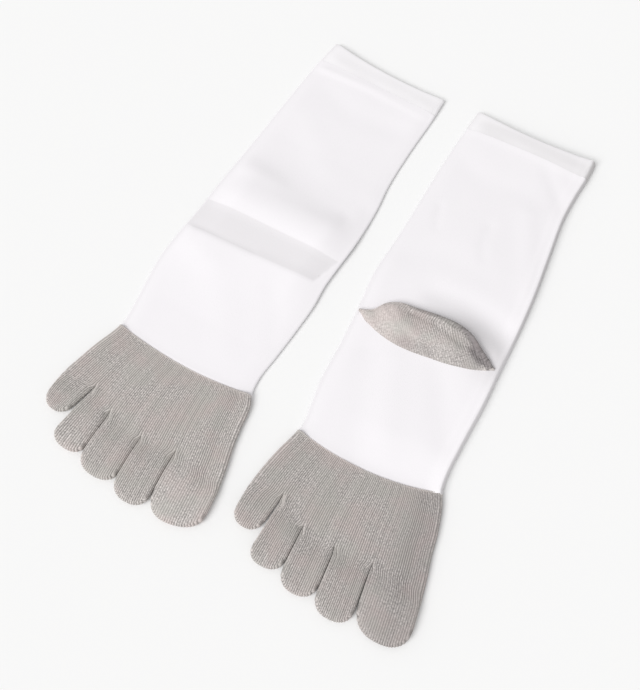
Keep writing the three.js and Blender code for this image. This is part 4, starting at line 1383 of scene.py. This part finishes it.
def make_heel(sock, settings):
    up = not sock.cut["instep_up"]
    first, last = sock.cut["heel"][0][0], sock.cut["heel"][-1][0]
    x = np.linspace(first, last, HEEL_COLUMNS + 1)
    lines = np.stack([even_stations(line, HEEL_STATIONS) for line in pocket_profile(sock, x)])
    flow = np.gradient(lines, axis=1)
    flow /= np.maximum(np.linalg.norm(flow, axis=-1, keepdims=True), 1e-9)
    aside = np.stack([-flow[..., 1], flow[..., 0]], -1)
    tip = np.minimum(x - first, last - x)
    half = HEEL_HALF_WALL * mix(POCKET_TIP, 1.0, smooth(tip / 5))[:, None, None]
    part = np.linspace(0, 1, HEEL_STATIONS)[None, :]
    wide = x[:, None] + 0 * part
    faces = [np.dstack([wide, lines + sign * half * aside]) for sign in (1, -1)]
    if up:
        bulge = pocket_bulge(faces[0][..., 0], faces[0][..., 1], part, tip)
        for face in faces:
            face[..., 2] += bulge + sock.leg_relief(face[..., 0], face[..., 1])
    for face in faces:
        face[..., 2] = np.maximum(face[..., 2], 0.0)
    outside, inside = faces if up else faces[::-1]

    # the ribs run across the fold, and lean where the pocket is pulled askew
    steps = np.hypot(*np.moveaxis(np.diff(lines, axis=1), -1, 0))
    along = np.concatenate([np.zeros((len(x), 1)), np.cumsum(steps, axis=1)], axis=1)
    lean = math.radians(HEEL_LEAN if up else 0)
    back = math.sin(lean) + math.sin(math.radians(HEEL_LEAN_BACK))
    past = np.maximum(0, along - HEEL_LEAN_TURN * along[:, -1:])
    slid = along * math.sin(lean) - past * back
    wale = (wide * math.cos(lean) + slid) / HEEL_PITCH + 100
    course = (along * math.cos(lean) - wide * math.sin(lean)) / STITCH + 100
    relief, tone = 0.5, 0.0
    if up:
        relief, tone = pocket_marks(sock, outside[..., 0], outside[..., 1], part)
    ends = smooth(tip / 3)[:, None] * smooth(part / 0.04) * smooth((1 - part) / 0.04)

    work = Patchwork()
    work.add(outside, wale=wale, course=course, relief=relief * ends, veil=tone)
    work.add(inside)
    rims = [(outside[i], inside[i]) for i in (0, -1)]
    rims += [(outside[:, i], inside[:, i]) for i in (0, -1)]
    for a, b in rims:
        work.add(np.stack([a, (a + b) / 2, b]))
    piece = work.sewn(f"{sock.name}_heel_pocket", sock)
    grow_ribs(piece, settings, settings.groove_depth * POCKET_GROOVES)
    declared(piece, [f"{sock.name}_heel"])


# ---- Stitches along the colour change ----

def seam_ring(sock, knit, seam):
    """A closed line of points round a tube at a seam, with the way out of the cloth at each."""
    lines = bow(seam, np.linspace(-1, 1, LEG_COLUMNS + 1))[None, :]
    tube = FlatTube(sock, knit, lines, lambda x, y: 0.0, LEG_ROLL_STEPS)
    ring = np.concatenate([
        tube.top[0], tube.right[0, 1:-1], tube.low[0, ::-1], tube.left[0, ::-1][1:-1],
    ])
    along = np.roll(ring, -1, axis=0) - np.roll(ring, 1, axis=0)
    out = np.cross(np.array([0.0, 1.0, 0.0]), along)
    out /= np.maximum(np.linalg.norm(out, axis=-1, keepdims=True), 1e-9)
    return ring, out if out[LEG_COLUMNS // 2, 2] > 0 else -out


def make_stitches(sock, settings):
    name = f"{sock.name}_border_stitches"
    ring, out = seam_ring(sock, FOREFOOT, shifted(sock.cut["border"], LINKING_ASIDE))
    ring = ring - out * LINKING_SUNK
    ring[:, 2] = np.maximum(ring[:, 2], LINKING_LOWEST)
    mesh = bpy.data.meshes.new(name)
    count = len(ring)
    mesh.from_pydata(sock.placed(ring).tolist(), [(i, (i + 1) % count) for i in range(count)], [])
    up = mesh.attributes.new("up", "FLOAT_VECTOR", "POINT")
    up.data.foreach_set("vector", sock.turned(out).astype(np.float32).ravel())
    piece = bpy.data.objects.new(name, mesh)
    bpy.context.scene.collection.objects.link(piece)
    grown(piece, stitch_tree(), {**LINKING, "Material": knit_material("grey", settings)})
    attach(piece, BODY)


# ---- The add-on ----

class ToeSockSettings(bpy.types.PropertyGroup):
    """Sizes and colours of the pair."""

    white: FloatVectorProperty(
        name="White Yarn", description="Colour of the leg and foot", subtype="COLOR",
        default=(0.890, 0.868, 0.893), min=0, max=1,
    )
    welt: FloatVectorProperty(
        name="Welt Yarn", description="Colour of the double cuff", subtype="COLOR",
        default=(0.872, 0.855, 0.874), min=0, max=1,
    )
    grey: FloatVectorProperty(
        name="Grey Yarn", description="Colour of the heel, forefoot and toes", subtype="COLOR",
        default=(0.60, 0.562, 0.540), min=0, max=1,
    )
    groove_depth: FloatProperty(
        name="Groove Depth", description="How deep the grooves between the ribs are",
        default=0.00042, min=0, max=0.0006, unit="LENGTH", precision=5,
    )
    stitch_depth: FloatProperty(
        name="Stitch Depth", description="How far one stitch stands out from the next",
        default=0.00004, min=0, max=0.0002, unit="LENGTH", precision=5,
    )


class StageSettings(bpy.types.PropertyGroup):
    """The floor and the light."""

    floor: FloatVectorProperty(
        name="Floor", description="Colour of the floor", subtype="COLOR",
        default=(0.9, 0.9, 0.9), min=0, max=1,
    )
    key_power: FloatProperty(
        name="Key Light", description="Strength of the soft key light", default=2.05, min=0, max=20,
    )
    key_angle: FloatProperty(
        name="Key Softness", description="How wide the key light is, seen from the socks",
        default=math.radians(36), min=0, max=math.pi, subtype="ANGLE",
    )
    sky_power: FloatProperty(
        name="Fill Light", description="Strength of the light from all round",
        default=0.60, min=0, max=5,
    )
    floor_size: FloatProperty(
        name="Floor Size", description="Length of the floor's side", default=8, min=1, max=100,
        unit="LENGTH",
    )


class TOESOCKS_OT_legs(bpy.types.Operator):
    """Knit the white leg and foot of both socks"""

    bl_idname = "toesocks.legs"
    bl_label = "Legs"

    def execute(self, context):
        for sock in SOCKS:
            make_leg(sock, context.scene.toe_socks)
        return {"FINISHED"}


class TOESOCKS_OT_cuffs(bpy.types.Operator):
    """Fold the double welt at the top of both socks"""

    bl_idname = "toesocks.cuffs"
    bl_label = "Cuffs"

    def execute(self, context):
        for sock in SOCKS:
            make_cuff(sock, context.scene.toe_socks)
        return {"FINISHED"}


class TOESOCKS_OT_forefeet(bpy.types.Operator):
    """Knit the ribbed grey forefoot with its five toes, for both socks"""

    bl_idname = "toesocks.forefeet"
    bl_label = "Forefeet and Toes"

    def execute(self, context):
        for sock in SOCKS:
            make_forefoot(sock, context.scene.toe_socks)
        return {"FINISHED"}


class TOESOCKS_OT_heels(bpy.types.Operator):
    """Knit and fold the grey heel pocket of both socks"""

    bl_idname = "toesocks.heels"
    bl_label = "Heel Pockets"

    def execute(self, context):
        for sock in SOCKS:
            make_heel(sock, context.scene.toe_socks)
        return {"FINISHED"}


class TOESOCKS_OT_stitches(bpy.types.Operator):
    """Lay the linking stitches round the colour change of both socks"""

    bl_idname = "toesocks.stitches"
    bl_label = "Linking Stitches"

    def execute(self, context):
        for sock in SOCKS:
            make_stitches(sock, context.scene.toe_socks)
        return {"FINISHED"}


# The camera: its lens, the way it looks and the place that it looks at.
LENS = 44.35
AZIMUTH, ELEVATION, ROLL = 27.81, 68.79, 1.50
DISTANCE = 0.5202
TARGET = (0.00085, -0.0326, 0.0)
KEY_FROM = (-0.42, -0.91, 0.95)  # where the key light comes from
FLOOR_LEVEL = -0.0002


class TOESOCKS_OT_stage(bpy.types.Operator):
    """Lay the floor and set up the light and the camera"""

    bl_idname = "toesocks.stage"
    bl_label = "Stage"

    def execute(self, context):
        stage = context.scene.toe_sock_stage
        self.lay_floor(context, stage)
        self.light(context, stage)
        self.set_camera(context)
        return {"FINISHED"}

    def lay_floor(self, context, stage):
        reach = stage.floor_size / 2
        corners = [(-reach, -reach), (reach, -reach), (reach, reach), (-reach, reach)]
        mesh = bpy.data.meshes.new("studio_floor")
        mesh.from_pydata([(x, y, FLOOR_LEVEL) for x, y in corners], [], [(0, 1, 2, 3)])
        floor = bpy.data.objects.new("studio_floor", mesh)
        context.scene.collection.objects.link(floor)
        material = bpy.data.materials.new("pale floor")
        material.use_nodes = True
        shader = material.node_tree.nodes["Principled BSDF"]
        shader.inputs["Base Color"].default_value = (*stage.floor, 1)
        shader.inputs["Roughness"].default_value = 0.9
        shader.inputs["Specular IOR Level"].default_value = 0.1
        mesh.materials.append(material)

    def light(self, context, stage):
        world = bpy.data.worlds.new("studio")
        world.use_nodes = True
        back = world.node_tree.nodes["Background"]
        back.inputs["Color"].default_value = (1.0, 0.998, 0.994, 1)
        back.inputs["Strength"].default_value = stage.sky_power
        context.scene.world = world
        data = bpy.data.lights.new("soft_key", "SUN")
        data.energy = stage.key_power
        data.angle = stage.key_angle
        key = bpy.data.objects.new("soft_key", data)
        key.rotation_euler = Vector(KEY_FROM).to_track_quat("Z", "Y").to_euler()
        context.scene.collection.objects.link(key)

    def set_camera(self, context):
        a, e, roll = (math.radians(v) for v in (AZIMUTH, ELEVATION, ROLL))
        forward = Vector((-math.sin(a) * math.cos(e), math.cos(a) * math.cos(e), -math.sin(e)))
        level = Vector((math.cos(a), math.sin(a), 0))
        upright = level.cross(forward)
        right = level * math.cos(roll) + upright * math.sin(roll)
        up = upright * math.cos(roll) - level * math.sin(roll)
        place = Vector(TARGET) - forward * DISTANCE
        data = bpy.data.cameras.new("camera")
        data.lens = LENS
        data.clip_start, data.clip_end = 0.01, 20
        camera = bpy.data.objects.new("camera", data)
        columns = Matrix((right, up, -forward)).transposed().to_4x4()
        camera.matrix_world = Matrix.Translation(place) @ columns
        context.scene.collection.objects.link(camera)
        context.scene.camera = camera
        context.scene.view_settings.view_transform = "Standard"
        context.scene.view_settings.look = "None"


class VIEW3D_PT_toe_socks(bpy.types.Panel):
    """Buttons that make the pair, piece by piece"""

    bl_label = "Toe Socks"
    bl_idname = "VIEW3D_PT_toe_socks"
    bl_space_type = "VIEW_3D"
    bl_region_type = "UI"
    bl_category = "Toe Socks"

    def draw(self, context):
        for step in STEPS:
            self.layout.operator(step.bl_idname)
        for group in (context.scene.toe_socks, context.scene.toe_sock_stage):
            for name in group.bl_rna.properties.keys():
                if name not in ("rna_type", "name"):
                    self.layout.prop(group, name)


STEPS = (
    TOESOCKS_OT_legs, TOESOCKS_OT_cuffs, TOESOCKS_OT_forefeet, TOESOCKS_OT_heels,
    TOESOCKS_OT_stitches, TOESOCKS_OT_stage,
)
CLASSES = (ToeSockSettings, StageSettings, *STEPS, VIEW3D_PT_toe_socks)


def register():
    for cls in CLASSES:
        bpy.utils.register_class(cls)
    bpy.types.Scene.toe_socks = PointerProperty(type=ToeSockSettings)
    bpy.types.Scene.toe_sock_stage = PointerProperty(type=StageSettings)


def unregister():
    del bpy.types.Scene.toe_sock_stage
    del bpy.types.Scene.toe_socks
    for cls in reversed(CLASSES):
        bpy.utils.unregister_class(cls)


def main():
    register()
    bpy.ops.toesocks.legs()
    bpy.ops.toesocks.cuffs()
    bpy.ops.toesocks.forefeet()
    bpy.ops.toesocks.heels()
    bpy.ops.toesocks.stitches()
    bpy.ops.toesocks.stage()


if __name__ == "__main__":
    main()
